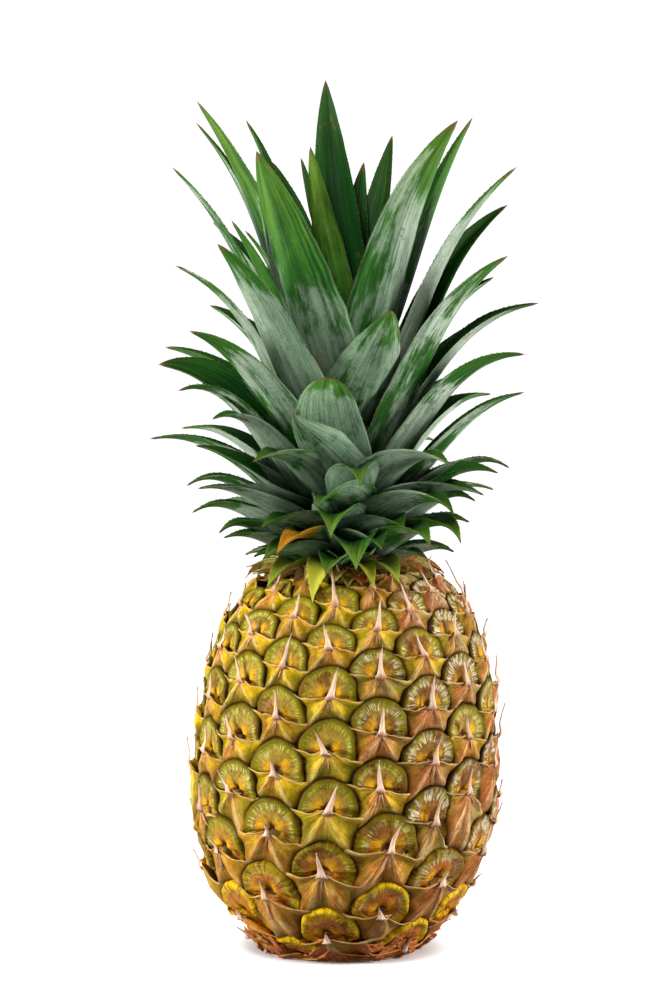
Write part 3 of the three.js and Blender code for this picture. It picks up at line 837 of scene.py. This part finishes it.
# ---------------------------------------------------------------- the fruit's pieces
DOME_ROWS = [0.0, 0.1, 0.19, 0.3, 0.43, 0.56, 0.66, 0.73, 0.79, 0.86, 0.92, 0.965, 1.0, 1.02]
DOME_SHAPE = [(0.0, -2.4), (0.1, -2.1), (0.19, -1.4), (0.3, -0.85), (0.43, -0.5), (0.56, -0.42),
              (0.66, -0.62), (0.73, -0.5), (0.79, 0.0), (0.86, 0.3), (0.92, 0.12),
              (0.965, -0.45), (1.0, -1.7), (1.02, -4.6)]
DOME_COLUMNS = 46
OUTLINE_PASSES = 4
BRACT_COLUMNS = 32
BRACT_ROWS = [0.0, 0.1, 0.22, 0.36, 0.5, 0.64, 0.77, 0.87, 0.94, 1.0]
SPINE_COLUMNS = even(6, -1.0, 1.0)
SPINE_ROWS = [0.0, 0.07, 0.14, 0.21, 0.3, 0.4, 0.52, 0.64, 0.77, 0.9, 1.0]
SHREDS = (-1.9, 1.9, 2.6, 3.2, 3.7)


class PINEAPPLE_OT_body(bpy.types.Operator):
    """Rind under the eyes: a turned body with a flat base"""
    bl_idname = "pineapple.body"
    bl_label = "Rind"

    def execute(self, context):
        depth = context.scene.pineapple_fruit.groove / MM
        curve = [(0.0, 0.0), (BASE_R * 0.5, 0.0), (BASE_R, 0.0)]
        for arc in even(70, 1.5, TOP_S - 0.5):
            z, r, _, _, nr, nz = PROFILE.at(PROFILE.s, arc)
            curve.append((max(BASE_R, r - depth * nr) if z < 3 else r - depth * nr,
                          max(0.4, z - depth * nz)))
        curve += [(TOP_R, TOP_Z), (TOP_R * 0.5, TOP_Z), (0.0, TOP_Z)]
        bm = spin(curve, 120)
        for v in bm.verts:
            x, y, z = v.co
            if z > 0.5:
                v.co += Vector((x, y, 0)).normalized() * (0.5 * noise.noise(v.co * 0.35))
            v.co.x += LEAN * z
        grow_uneven(bm)
        piece = finish_piece(bm, "fruit_rind", body_finish())
        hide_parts("fruit")
        return {"FINISHED"}


class PINEAPPLE_OT_domes(bpy.types.Operator):
    """Round upper parts of the eyes"""
    bl_idname = "pineapple.domes"
    bl_label = "Eye domes"

    def execute(self, context):
        dome_r = context.scene.pineapple_fruit.dome_radius / MM
        bm = start("seed", "dry", "gold")
        for eye in list_eyes(dome_r):
            self.add_dome(bm, eye, dome_r)
        grow_uneven(bm)
        finish_piece(bm, "eye_domes", dome_finish())
        return {"FINISHED"}

    def add_dome(self, bm, eye, dome_r):
        size = eye.size
        columns = even(DOME_COLUMNS)
        reach = []
        for phi in columns:
            angle = radians(-90 + 360 * phi)
            x, y, z = cos(angle), sin(angle), 9 * eye.seed
            uneven = 1.015 + 0.04 * ripple(1.5 * x, 1.5 * y, z)
            uneven += 0.07 * eye.dry * (1 - eye.gold) * ripple(5 * x, 5 * y, z)
            reach.append(min(dome_r * eye.dome * uneven, eye.limit(angle)))
        for _ in range(OUTLINE_PASSES):
            before = reach[DOME_COLUMNS - 1:DOME_COLUMNS] + reach[:-1]
            after = reach[1:] + reach[1:2]
            reach = [soften(*three) for three in zip(before, reach, after)]
        wobble = 5 * eye.seed

        def place(phi, rho):
            angle = radians(-90 + 360 * phi)
            x, y = cos(angle), sin(angle)
            # the last row is the point that closes the dome from below
            far = reach[round(phi * DOME_COLUMNS)] * rho if rho <= 1.0 else 0.0
            u, v = far * x, far * y
            h = through(DOME_SHAPE, rho) + eye.lift
            under = smooth((0.03 - y) / 0.3)
            h -= 2.0 * under * (1 - smooth((rho - 0.9) / 0.1))
            if rho < 1.0:
                h += 0.65 * ripple(u * 0.28, v * 0.28, wobble * 9) * smooth(rho * 4)
                h += 0.25 * ripple(6 * x, 6 * y, wobble) * smooth((rho - 0.5) / 0.3)
            return eye.at(u, v + 0.5 * size, h * size)

        verts, _ = grid(bm, columns, DOME_ROWS, place)
        stain(bm, verts, seed=eye.seed, dry=eye.dry, gold=eye.gold)


class PINEAPPLE_OT_bracts(bpy.types.Operator):
    """Star-shaped capes under the eyes, each with a free edge from horn to horn"""
    bl_idname = "pineapple.bracts"
    bl_label = "Bracts"

    def execute(self, context):
        dome_r = context.scene.pineapple_fruit.dome_radius / MM
        bm = start("seed", "dry", "gold", "ridge")
        for eye in list_eyes(dome_r):
            self.add_bract(bm, eye)
        grow_uneven(bm)
        piece = finish_piece(bm, "bracts", bract_finish(), closed=False)
        thicken(piece, BRACT_WALL)
        return {"FINISHED"}

    def add_bract(self, bm, eye):
        size = eye.size
        full = 2 * pi
        first = atan2(eye.left[1], eye.left[0]) % full
        last = atan2(eye.right[1], eye.right[0]) % full
        if last < first:
            last += full
        marks = sorted(first + (atan2(y, x) - first) % full for x, y in eye.ring)
        marks = [m for m in marks if first - 1e-6 <= m <= last + 1e-6]
        if marks[-1] < last - 1e-4:
            marks.append(last)
        angles = spread_over(marks, BRACT_COLUMNS)
        columns = even(BRACT_COLUMNS)
        ridge = [ridge_share(marks, angle) for angle in angles]
        rays = []
        for i, angle in enumerate(angles):
            edge = eye.to_edge(angle)
            inward = smooth(min(i, BRACT_COLUMNS - i) / 6)
            longest = 1.05 + 0.3 * inward + 0.5 * smooth(2.2 * (1 - ridge[i]))
            horn = i in (0, BRACT_COLUMNS)
            rays.append(edge if horn else eye.to_bite(angle, edge * longest) + 0.1)
        rays = [rays[0]] + [
            soften(*rays[i - 1:i + 2]) if ridge[i] < 0.7 else rays[i]
            for i in range(1, BRACT_COLUMNS)] + [rays[-1]]
        sag = (0.8 + 0.9 * draw(eye.k, 14)) * size
        curl = 0.1 + 0.8 * draw(eye.k, 15) ** 2
        z = 9 * eye.seed

        def place(across, rho):
            i = round(across * BRACT_COLUMNS)
            angle, far, top = angles[i], rays[i], ridge[i]
            u = rho * far * cos(angle)
            v = rho * far * sin(angle) + 0.4 * size * (1 - rho)
            lip = max(0.0, 1 - min(i, BRACT_COLUMNS - i) / 4.0)
            v -= sag * 4 * rho * (1 - rho) * lip
            torn = ripple(rho * 5, 7 * (across > 0.5), z)
            v += 0.9 * torn * lip * smooth(rho * 4) * smooth((1 - rho) * 6) * size
            h = 1.5 * (1 - rho) ** 1.6 - 0.15
            h += 1.2 * top * (1 - abs(2 * rho - 1)) - 0.8 * (1 - top) * rho * (1 - lip)
            h += (curl + torn) * lip ** 2 * smooth(rho * 2.5) * (1 - 0.5 * rho)
            fold = ripple(across * 7, rho * 1.6, z) * 1.1
            fold += ripple(across * 19, rho * 2.2, z + 5) * 0.5
            h += fold * smooth(rho * 4) * (1 - smooth((rho - 0.75) / 0.25))
            hem = smooth((rho - 0.9) / 0.1)
            h -= hem * (1.7 - 1.1 * lip - 0.4 * top)
            return eye.at(u, v, (h + eye.lift) * size)

        verts, faces = grid(bm, columns, BRACT_ROWS, place)
        face_out(bm, faces, eye.turn, eye.s)
        stain(bm, verts, seed=eye.seed, dry=eye.dry, gold=eye.gold)
        uv, raised = bm.loops.layers.uv.verify(), bm.verts.layers.float["ridge"]
        for v in verts:
            v[raised] = ridge[round(v.link_loops[0][uv].uv.x * BRACT_COLUMNS)]


def spread_over(marks, n):
    """n + 1 angles from the first mark to the last that hit every mark."""
    whole = marks[-1] - marks[0]
    counts = [max(3, round(n * (b - a) / whole)) for a, b in zip(marks, marks[1:])]
    while sum(counts) != n:
        i = counts.index(max(counts))
        counts[i] += 1 if sum(counts) < n else -1
    angles = [marks[0]]
    for (a, b), c in zip(zip(marks, marks[1:]), counts):
        angles += [a + (b - a) * j / c for j in range(1, c + 1)]
    return angles


def ridge_share(marks, angle):
    """1 on a mark, 0 half way between two marks."""
    for a, b in zip(marks, marks[1:]):
        if angle <= b + 1e-6:
            f = (angle - a) / max(1e-6, b - a)
            return max(0.0, abs(2 * f - 1)) ** 1.6
    return 1.0


class PINEAPPLE_OT_spines(bpy.types.Operator):
    """Dry spines that stand up over the domes"""
    bl_idname = "pineapple.spines"
    bl_label = "Spines"

    def execute(self, context):
        fruit = context.scene.pineapple_fruit
        bm = start("seed", "dry")
        for eye in list_eyes(fruit.dome_radius / MM):
            if eye.s < 4:
                continue
            self.add_spine(bm, eye, fruit.spine / MM)
            for way in SHREDS:
                self.add_shred(bm, eye, way)
        grow_uneven(bm)
        piece = finish_piece(bm, "spines", spine_finish(), closed=False)
        thicken(piece, SPINE_WALL)
        return {"FINISHED"}

    def add_spine(self, bm, eye, length):
        size = eye.size
        bend = (draw(eye.k, 2) - 0.6) * 0.95
        grown = 0.55 + 0.45 * smooth((eye.s - 30) / 30)
        room = max(3.0, TOP_S - eye.s - 4.5)
        reach = min(room + 2, length * grown * (0.75 + 0.45 * draw(eye.k, 3)))
        out = (2.8 + 2.0 * draw(eye.k, 4)) * grown
        top = smooth((eye.z - 122) / 14)
        out += top * (1.0 + 2.5 * draw(eye.k, 18))
        curve = (draw(eye.k, 16) - 0.5) * 3.0
        broken = draw(eye.k, 17) < 0.12
        if broken:
            reach *= 0.5

        def place(across, t):
            u = reach * sin(bend) * t + curve * t * t * 0.4
            v = -1.7 * size + (reach * cos(bend) * 0.95 + 1.7 * size) * t
            h = 1.0 * size + (out - 1.0 * size) * t ** 1.4
            h += 0.9 * exp(-((t - 0.2) / 0.12) ** 2)
            width = (1 - t) ** 0.85 * (1.5 + 0.9 * exp(-((t - 0.12) / 0.08) ** 2)) * size
            if broken:
                width = max(width, 0.7)
            h += 0.55 * width * (1 - abs(across)) + 0.15 * ripple(across * 2, t * 5, eye.k)
            v -= 0.5 * abs(across) * width * exp(-((t - 0.15) / 0.1) ** 2)
            return eye.at(u + across * width, v, h)

        verts, faces = grid(bm, SPINE_COLUMNS, SPINE_ROWS, place)
        face_out(bm, faces, eye.turn, eye.s)
        stain(bm, verts, seed=eye.seed, dry=eye.dry)

    def add_shred(self, bm, eye, way):
        """Torn root of a spine, run out over the bract or along its lip."""
        size = eye.size
        turned = way + 0.6 * (draw(eye.k, 10 * way) - 0.5)
        length = lerp(2.0, 4.5 if abs(way) < 2 else 7.5, draw(eye.k, 11 * way)) * size
        curl = draw(eye.k, 12 * way)
        half = lerp(0.4, 1.0, draw(eye.k, 13 * way)) * size

        def place(across, t):
            bent = turned + 0.5 * (curl - 0.5) * t
            wide = across * half * (1 - t) ** 0.7
            u = length * t * sin(bent) + wide * cos(bent)
            v = length * t * cos(bent) - wide * sin(bent) - 0.9 * size
            h = 1.5 - 1.3 * t ** 0.7 + 0.6 * curl * sin(pi * t) - 0.3 * abs(across)
            return eye.at(u, v, (h + eye.lift) * size)

        verts, faces = grid(bm, [-1.0, 0.0, 1.0], even(6), place)
        face_out(bm, faces, eye.turn, eye.s)
        stain(bm, verts, seed=curl, dry=1.0 + curl)


class PINEAPPLE_OT_scales(bpy.types.Operator):
    """Torn ends of dry bracts round the base"""
    bl_idname = "pineapple.scales"
    bl_label = "Base scales"
    COUNT = 96

    def execute(self, context):
        bm = start("seed")
        for i in range(self.COUNT):
            self.add_scale(bm, i)
        grow_uneven(bm)
        piece = finish_piece(bm, "base_scales", dry_leaf_finish("dry_scale", 0.5),
                             closed=False)
        thicken(piece, SCALE_WALL)
        return {"FINISHED"}

    def add_scale(self, bm, i):
        turn = 2 * pi * (i * 0.618 + 0.1 * draw(i, 71))
        arc = lerp(1.5, 15, draw(i, 72) ** 1.4)
        way = pi * (1.0 + 1.3 * (draw(i, 73) - 0.5))
        length, width = 4 + 6 * draw(i, 74), 2.5 + 4 * draw(i, 75)
        lift = 0.3 + 2.2 * draw(i, 76)

        def place(across, t):
            ragged = 1 + 0.6 * ripple(across * 3.5, 0, i * 3.3)
            along = length * (t * ragged - 0.35)
            wide = across * width / 2 * (1 + 0.3 * ripple(t * 3, across, i))
            wide *= 1 - 0.5 * t * t
            u = along * sin(way) + wide * cos(way)
            v = along * cos(way) - wide * sin(way)
            h = 0.4 + lift * t * t + 0.5 * abs(across) * ripple(t * 2, 5, i)
            return on_skin(turn, arc, u, max(v, 1.0 - arc), h)

        verts, faces = grid(bm, even(6, -1.0, 1.0), even(6), place)
        face_out(bm, faces, turn, arc)
        stain(bm, verts, seed=0.75 + 0.25 * draw(i, 77))


# ---------------------------------------------------------------- the crown's pieces
# turn and height of the root, x y z of the tip, width, rise at the root, rise at the tip, twist
LEAVES = [
    # tall leaves of the heart
    (178, 232, -6, 20, 349, 21, 87, 84, 0),
    (140, 228, 21, 26, 327, 20, 76, 74, 0),
    (-24, 238, -12, -4, 322, 15, 76, 84, 0),
    (210, 236, -16, 8, 318, 10, 84, 76, 0),
    (-30, 212, -33, -22, 320, 33, 56, 72, 0),
    (-110, 226, -38, 12, 333, 15, 64, 60, 0),
    (-80, 216, -57, -4, 340, 27, 66, 56, 0),
    (-100, 212, -58, 10, 332, 14, 62, 48, 0),
    (100, 220, 53, 14, 334, 27, 62, 60, 0),
    (38, 214, 46, -20, 332, 28, 62, 52, 0),
    # upright outer leaves, left
    (-84, 204, -67, -4, 314, 15, 58, 44, 0),
    (-66, 208, -43, -18, 293, 16, 60, 56, 0),
    (-80, 212, -38, -8, 289, 12, 62, 48, 0),
    (-42, 200, -48, -38, 284, 26, 44, 46, 0),
    (-86, 190, -66, -2, 275, 15, 62, 24, 0),
    (-44, 188, -59, -36, 250, 22, 40, 20, 0),
    # upright outer leaves, right
    (76, 200, 70, -4, 314, 17, 64, 40, 0),
    (96, 196, 67, 8, 299, 20, 62, 36, -35),
    (64, 190, 66, -18, 279, 24, 58, 34, 0),
    (84, 188, 79, -4, 260, 18, 60, 8, -15),
    (125, 195, 57, 34, 252, 14, 55, 30, 0),
    (72, 182, 73, -14, 240, 22, 52, 0, 0),
    (118, 186, 46, 28, 230, 15, 50, 20, 0),
    (76, 176, 73, -12, 225, 20, 36, 12, -10),
    # broad front leaves
    (16, 206, 20, -34, 258, 31, 60, 66, 0),
    (-12, 188, -5, -33, 232, 30, 50, 145, 0),
    (8, 177, -19, -50, 219, 26, 60, 42, 0),
    (-34, 176, -34, -54, 200, 27, 60, -22, 0),
    (36, 176, 43, -50, 198, 28, 56, -30, 0),
    (8, 172, 7.4, -58, 190, 24, 66, -80, 0),
    (8, 168, -9, -58, 183, 27, 56, -30, 0),
    (34, 164, 44, -50, 179, 27, 44, -50, 0),
    (-4, 163, -3.8, -60, 170.5, 24, 60, -82, 0),
    (4, 158, 5.9, -58, 158, 26, 50, -75, 0),
    # spreading leaves, left
    (-78, 184, -72, -14, 236, 30, 40, 2, 35),
    (-70, 180, -64, -24, 226, 20, 34, -20, 0),
    (-56, 178, -50, -44, 216, 22, 36, -20, 0),
    (-86, 178, -76, -6, 206, 22, 24, -12, 0),
    (-66, 174, -57, -30, 205, 22, 24, 10, 25),
    (-78, 170, -61, -16, 188, 21, 22, -35, 0),
    (-64, 169, -56, -30, 188, 21, 20, -10, 0),
    (-80, 164, -59, -12, 177, 21, 18, -35, 0),
    (-66, 160, -48, -26, 170, 20, 14, -45, 0),
    (-56, 159, -46, -34, 169, 20, 12, -15, 0),
    # spreading leaves, right
    (74, 172, 67, -16, 195, 21, 26, -35, 0),
    (64, 170, 62, -30, 194, 23, 34, -20, -20),
    (66, 166, 53, -30, 183, 21, 24, -30, 0),
    (70, 162, 51, -22, 174, 20, 22, -25, 0),
    (58, 163, 47, -40, 167, 20, 26, -70, 0),
    # small leaves of the foot, hanging over the fruit
    (-34, 156, -30.5, -48, 161.5, 20, 30, -30, 0),
    (-22, 161, -25, -55, 164, 18, 36, -40, 0),
    (-2, 156, -6, -53, 155.3, 18, 18, -45, 0),
    (-14, 157, -11, -50, 144.5, 15, 12, -80, 0),
    (36, 157, 35, -52, 166.8, 22, 30, -55, 0),
    # short leaves that fill the front between the broad ones
    (26, 163, 25, -50, 174, 25, 36, -20, 0),
    (-30, 165, -31, -46, 174, 24, 30, -25, 0),
    (14, 160, 16, -54, 166, 22, 34, -30, 0),
    (56, 174, 56, -38, 186, 24, 30, -20, 0),
    # pale leaves that lie on the shoulder
    (-45, 156, -29, -36, 149, 14, 20, -50, 0),
    (15, 156, 13, -45, 149.5, 10, 20, -50, 0),
    (30, 156, 23, -42, 151, 14, 20, -50, 0),
]
# how yellow-green a leaf is, for those that aren't plain green
YOUNG = {2: 0.55, 4: 0.3, 6: 0.45, 9: 0.35, 27: 0.3, 28: 0.3, 29: 0.45, 32: 0.6, 33: 0.7,
         48: 0.5, 49: 0.5, 51: 0.5, 52: 1.6, 53: 0.5, 58: 1.2, 59: 1.6, 60: 1.2}
# how much grey bloom a leaf keeps on its outer side, for those listed
WAXED = {0: 0.05, 1: 0.05, 2: 0.2, 3: 0.2, 5: 0.15, 6: 0.45, 8: 0.1, 17: 0.1, 24: 0.8,
         25: 0.8, 26: 0.95, 48: 0.2, 50: 0.2, 52: 0.1}
# leaves flatter than the others across their width, and the one with a dried end
FLATTER = {25: 0.4}
DRIED = {50: 1.0}


def hidden_leaves():
    """Leaves of the back half, within the same outline as those in front."""
    rows = []
    for i in range(HIDDEN):
        t = i / (HIDDEN - 1)
        turn = 100 + 160 * ((i * 0.618 + 0.2) % 1)
        a = radians(turn)
        z_tip = 166 + 154 * t + 8 * (draw(i, 21) - 0.5)
        far = 62 + 14 * sin(pi * 0.8 * t) - 38 * t ** 3 + 8 * (draw(i, 22) - 0.5)
        rows.append((turn, 160 + 64 * t, CROWN_X + far * sin(a), -far * cos(a), z_tip,
                     15 + 9 * sin(pi * t), 22 + 48 * t, -35 + 90 * t, 0))
    return rows


def foot_leaves():
    """Small leaves all round the foot, arching out over the shoulder of the fruit."""
    rows = []
    for i in range(FOOT):
        turn = 20 + 360 * i / FOOT + 16 * (draw(i, 31) - 0.5)
        a = radians(turn)
        far = 38 + 9 * draw(i, 32)
        rows.append((turn, 157, CROWN_X + far * sin(a), -far * cos(a),
                     157 + 5 * draw(i, 33), 16, 10, -30, 0))
    return rows


def stem_radius(z):
    """Radius of the stem at a height; its lowest part goes on below the first row."""
    i = 0
    while i + 2 < len(STEM) and STEM[i + 1][0] < z:
        i += 1
    (z0, r0), (z1, r1) = STEM[i], STEM[i + 1]
    return r0 + (r1 - r0) * (z - z0) / (z1 - z0)


class Leaf:
    """Midline of a leaf with its frame and width from root to tip."""

    PLACES = 40

    def __init__(self, row, flatter=1.0):
        turn, root_z, x, y, z, self.width, rise, fall, twist = row
        self.flatter = flatter
        self.point = lerp(1.45, 0.8, smooth((z - 195) / 45)) * flatter ** 0.7
        a, e0, e1 = radians(turn), radians(rise), radians(fall)
        out = Vector((sin(a), -cos(a), 0))
        up = Vector((0, 0, 1))
        root = Vector((CROWN_X, 0, root_z)) + out * max(0.0, stem_radius(root_z) - SUNK)
        tip = Vector((x, y, z))
        level = tip - root
        span = level.length
        level.z = 0
        level.normalize()
        near = root + 0.38 * span * (out * cos(e0) + up * sin(e0))
        far = tip - 0.36 * span * (level * cos(e1) + up * sin(e1))
        self.points = (root, near, far, tip)
        self.span = span
        self.twist = radians(twist)
        side = Vector((cos(a), sin(a), 0))
        self.frames = []
        for i in range(self.PLACES + 1):
            t = i / self.PLACES
            along = self.slope(t)
            side = (side - along * side.dot(along)).normalized()
            self.frames.append((along, side.copy()))

    def mid(self, t):
        a, b, c, d = self.points
        k = 1 - t
        return a * k ** 3 + b * (3 * k * k * t) + c * (3 * k * t * t) + d * t ** 3

    def slope(self, t):
        a, b, c, d = self.points
        k = 1 - t
        return ((b - a) * k * k + (c - b) * (2 * k * t) + (d - c) * (t * t)).normalized()

    def at(self, t):
        """Midpoint, direction, side and face of the blade at t."""
        along, side = self.frames[round(t * self.PLACES)]
        flat = along.cross(side)
        w = self.twist * smooth(t / 0.5)
        return (self.mid(t), along, side * cos(w) - flat * sin(w),
                flat * cos(w) + side * sin(w))

    def half(self, t):
        return self.width / 2 * (0.8 + 0.2 * smooth(t / 0.3)) * max(0.0, 1 - t ** 2.6) ** self.point

    def cup(self, t):
        return self.half(t) * lerp(CUP_ROOT, CUP_TIP, t) * self.flatter


LEAF_AROUND = even(20)
LEAF_ALONG = [i / Leaf.PLACES for i in [*range(0, 36, 2), *range(36, 41)]]


def add_leaf(bm, leaf, blade, key, ruffle=0.35):
    """Closed arched blade with a trough-shaped section."""
    def place(around, t):
        mid, _, side, face = leaf.at(t)
        if t in (0.0, 1.0):
            return mid
        half, cup = leaf.half(t), leaf.cup(t)
        x = -cos(2 * pi * around)
        thick = blade * (1 - 0.6 * t) / 2
        n = -thick * sin(2 * pi * around) + cup * abs(x) ** 1.7
        n -= 0.15 * cup
        wave = ripple(t * leaf.span * 0.07, x * 0.6, key * 3.7)
        n += ruffle * wave * abs(x) * smooth(t * 4)
        edge = ripple(t * leaf.span * 0.12, copysign(3, x), key)
        return mid + side * (half * x * (1 + 0.05 * edge)) + face * n
    return grid(bm, LEAF_AROUND, LEAF_ALONG, place)


def all_rows():
    return LEAVES + hidden_leaves() + foot_leaves()


class PINEAPPLE_OT_leaves(bpy.types.Operator):
    """Leaves of the crown"""
    bl_idname = "pineapple.leaves"
    bl_label = "Crown leaves"

    def execute(self, context):
        blade = context.scene.pineapple_crown.blade / MM
        bm = start("seed", "young", "bloom", "low", "dried")
        for i, row in enumerate(all_rows()):
            verts, _ = add_leaf(bm, Leaf(row, FLATTER.get(i, 1.0)), blade, i)
            stain(bm, verts, seed=draw(i, 41), young=YOUNG.get(i, 0.15 * draw(i, 42)),
                  bloom=WAXED.get(i, 0.5 + 0.3 * draw(i, 43)), dried=DRIED.get(i, 0.0),
                  low=1 - smooth((row[4] - 165) / 60))
        piece = finish_piece(bm, "crown_leaves", leaf_finish())
        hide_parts("crown")
        return {"FINISHED"}


class PINEAPPLE_OT_stem(bpy.types.Operator):
    """Stem that carries the leaves"""
    bl_idname = "pineapple.stem"
    bl_label = "Crown stem"

    def execute(self, context):
        curve = [(0.0, 153.8), (21.0, 153.8)] + [(r, z + 0.4) for z, r in STEM] + [(0.0, 262)]
        bm = spin(curve, 32)
        bmesh.ops.translate(bm, vec=(CROWN_X, 0, 0), verts=bm.verts)
        finish_piece(bm, "crown_stem", shaded_stem_finish())
        return {"FINISHED"}


class PINEAPPLE_OT_teeth(bpy.types.Operator):
    """Fine teeth along the edges of the leaves"""
    bl_idname = "pineapple.teeth"
    bl_label = "Leaf teeth"
    LENGTH = 0.9

    def execute(self, context):
        pitch = context.scene.pineapple_crown.tooth_pitch / MM
        bm = bmesh.new()
        for i, row in enumerate(all_rows()):
            leaf = Leaf(row, FLATTER.get(i, 1.0))
            count = int(leaf.span * 0.7 / pitch)
            for sign in (-1, 1):
                for j in range(count):
                    t = 0.22 + 0.72 * (j + draw(i, j + 50) * 0.6) / count
                    self.add_tooth(bm, leaf, sign, t)
        finish_piece(bm, "leaf_teeth", tooth_finish())
        return {"FINISHED"}

    def add_tooth(self, bm, leaf, sign, t):
        _, along, side, face = leaf.at(round(t * leaf.PLACES) / leaf.PLACES)
        point = (leaf.mid(t) + side * (sign * (leaf.half(t) - 0.25))
                 + face * (leaf.cup(t) * 0.85))
        way = (side * sign * 0.62 + along * 0.75 + face * 0.2).normalized()
        turn = way.to_track_quat("Z", "Y").to_matrix().to_4x4()
        matrix = Matrix.Translation(point + way * self.LENGTH * 0.35) @ turn
        bmesh.ops.create_cone(bm, cap_ends=True, cap_tris=True, segments=3, radius1=0.26,
                              radius2=0.02, depth=self.LENGTH, matrix=matrix)


class PINEAPPLE_OT_collar(bpy.types.Operator):
    """Dry curled bracts round the foot of the crown and on the shoulder"""
    bl_idname = "pineapple.collar"
    bl_label = "Dry collar"
    COUNT = 56
    UPPER = 38

    def execute(self, context):
        bm = start("seed")
        for i in range(self.COUNT):
            turn = 360 * (i * 0.382 + 0.05 * draw(i, 61))
            a = radians(turn)
            low, drop = (i % 2, 0) if i < self.UPPER else (1, 2.2)
            far = 30 + 7 * low + 4 * draw(i, 62)
            high = 157 - 5.5 * low - drop + (5 - 2 * low) * draw(i, 63) ** 3
            width = 10 + 4 * low + 5 * draw(i, 64)
            row = (turn + 22 * (draw(i, 65) - 0.5), 155.5 - low - drop, CROWN_X + far * sin(a),
                   -far * cos(a), high, width, 6 + 10 * low,
                   50 - 80 * draw(i, 66) - 30 * low, 0)
            verts, _ = add_leaf(bm, Leaf(row), COLLAR_WALL, 200 + i, 0.9)
            stain(bm, verts, seed=0.1 + 0.8 * draw(i, 67))
        finish_piece(bm, "dry_collar", dry_leaf_finish())
        return {"FINISHED"}


# ---------------------------------------------------------------- stage
def area_light(name, power, size, place, target):
    light = bpy.data.lights.new(name, "AREA")
    light.energy = power
    light.shape = "DISK"
    light.size = size
    lamp = bpy.data.objects.new(name, light)
    lamp.location = place
    lamp.rotation_euler = (Vector(target) - Vector(place)).to_track_quat("-Z", "Y").to_euler()
    bpy.context.scene.collection.objects.link(lamp)


class PINEAPPLE_OT_stage(bpy.types.Operator):
    """Floor, backdrop, lights and camera"""
    bl_idname = "pineapple.stage"
    bl_label = "Stage"
    ELEVATION = radians(4.5)
    DISTANCE = 1.5
    AIM = Vector((-0.0028, 0.0, 0.1812))

    def execute(self, context):
        scene = context.scene
        stage = scene.pineapple_stage
        camera = bpy.data.cameras.new("camera")
        camera.sensor_fit = "VERTICAL"
        camera.sensor_height = 36.0
        camera.lens = 135.0
        camera.clip_start = 0.05
        holder = bpy.data.objects.new("camera", camera)
        back = Vector((0, -cos(self.ELEVATION), sin(self.ELEVATION)))
        holder.location = self.AIM + back * self.DISTANCE
        holder.rotation_euler = (pi / 2 - self.ELEVATION, 0, 0)
        scene.collection.objects.link(holder)
        scene.camera = holder

        bm = bmesh.new()
        bmesh.ops.create_circle(bm, cap_ends=True, segments=64, radius=7.0)
        ground = self.stage_piece(bm, "floor", floor_finish())
        ground.visible_diffuse = False
        bm = bmesh.new()
        bmesh.ops.create_uvsphere(bm, u_segments=48, v_segments=24, radius=6.9)
        backdrop = self.stage_piece(bm, "backdrop", backdrop_finish())
        for ray in ("diffuse", "glossy", "transmission", "shadow"):
            setattr(backdrop, "visible_" + ray, False)

        world = bpy.data.worlds.new("studio")
        world.use_nodes = True
        sky = world.node_tree.nodes["Background"]
        sky.inputs["Color"].default_value = WHITE
        sky.inputs["Strength"].default_value = stage.fill
        scene.world = world
        middle = (0, 0, 0.17)
        area_light("key", stage.key, 0.4, (-0.3, -0.8, 1.0), middle)
        area_light("low", stage.key * 0.1, 0.4, (0.0, -0.7, 0.03), (0.0, 0.0, 0.03))
        area_light("left", stage.side, 0.4, (-0.95, -0.25, 0.3), middle)
        area_light("right", stage.side, 0.4, (0.95, -0.15, 0.3), middle)
        scene.view_settings.view_transform = "Standard"
        return {"FINISHED"}

    def stage_piece(self, bm, name, material):
        mesh = bpy.data.meshes.new(name)
        bm.to_mesh(mesh)
        bm.free()
        mesh.materials.append(material)
        piece = bpy.data.objects.new(name, mesh)
        bpy.context.scene.collection.objects.link(piece)
        return piece


# ---------------------------------------------------------------- panel and registration
PIECES = (
    PINEAPPLE_OT_stage, PINEAPPLE_OT_body, PINEAPPLE_OT_domes, PINEAPPLE_OT_bracts,
    PINEAPPLE_OT_spines, PINEAPPLE_OT_scales, PINEAPPLE_OT_stem, PINEAPPLE_OT_leaves,
    PINEAPPLE_OT_teeth, PINEAPPLE_OT_collar,
)


class PINEAPPLE_PT_parts(bpy.types.Panel):
    bl_idname = "PINEAPPLE_PT_parts"
    bl_label = "Pineapple"
    bl_space_type = "VIEW_3D"
    bl_region_type = "UI"
    bl_category = "Pineapple"

    def draw(self, context):
        for group in GROUPS:
            values = getattr(context.scene, group)
            for name in values.bl_rna.properties.keys():
                if name not in ("rna_type", "name"):
                    self.layout.prop(values, name)
        for piece in PIECES:
            self.layout.operator(piece.bl_idname)


GROUPS = {"pineapple_fruit": PineappleFruit, "pineapple_crown": PineappleCrown,
          "pineapple_stage": PineappleStage}
CLASSES = tuple(GROUPS.values()) + PIECES + (PINEAPPLE_PT_parts,)


def register():
    for cls in CLASSES:
        bpy.utils.register_class(cls)
    for name, group in GROUPS.items():
        setattr(bpy.types.Scene, name, bpy.props.PointerProperty(type=group))


def unregister():
    for name in GROUPS:
        delattr(bpy.types.Scene, name)
    for cls in reversed(CLASSES):
        bpy.utils.unregister_class(cls)


def main():
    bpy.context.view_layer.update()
    register()
    for piece in PIECES:
        group, name = piece.bl_idname.split(".")
        getattr(getattr(bpy.ops, group), name)()


if __name__ == "__main__":
    main()
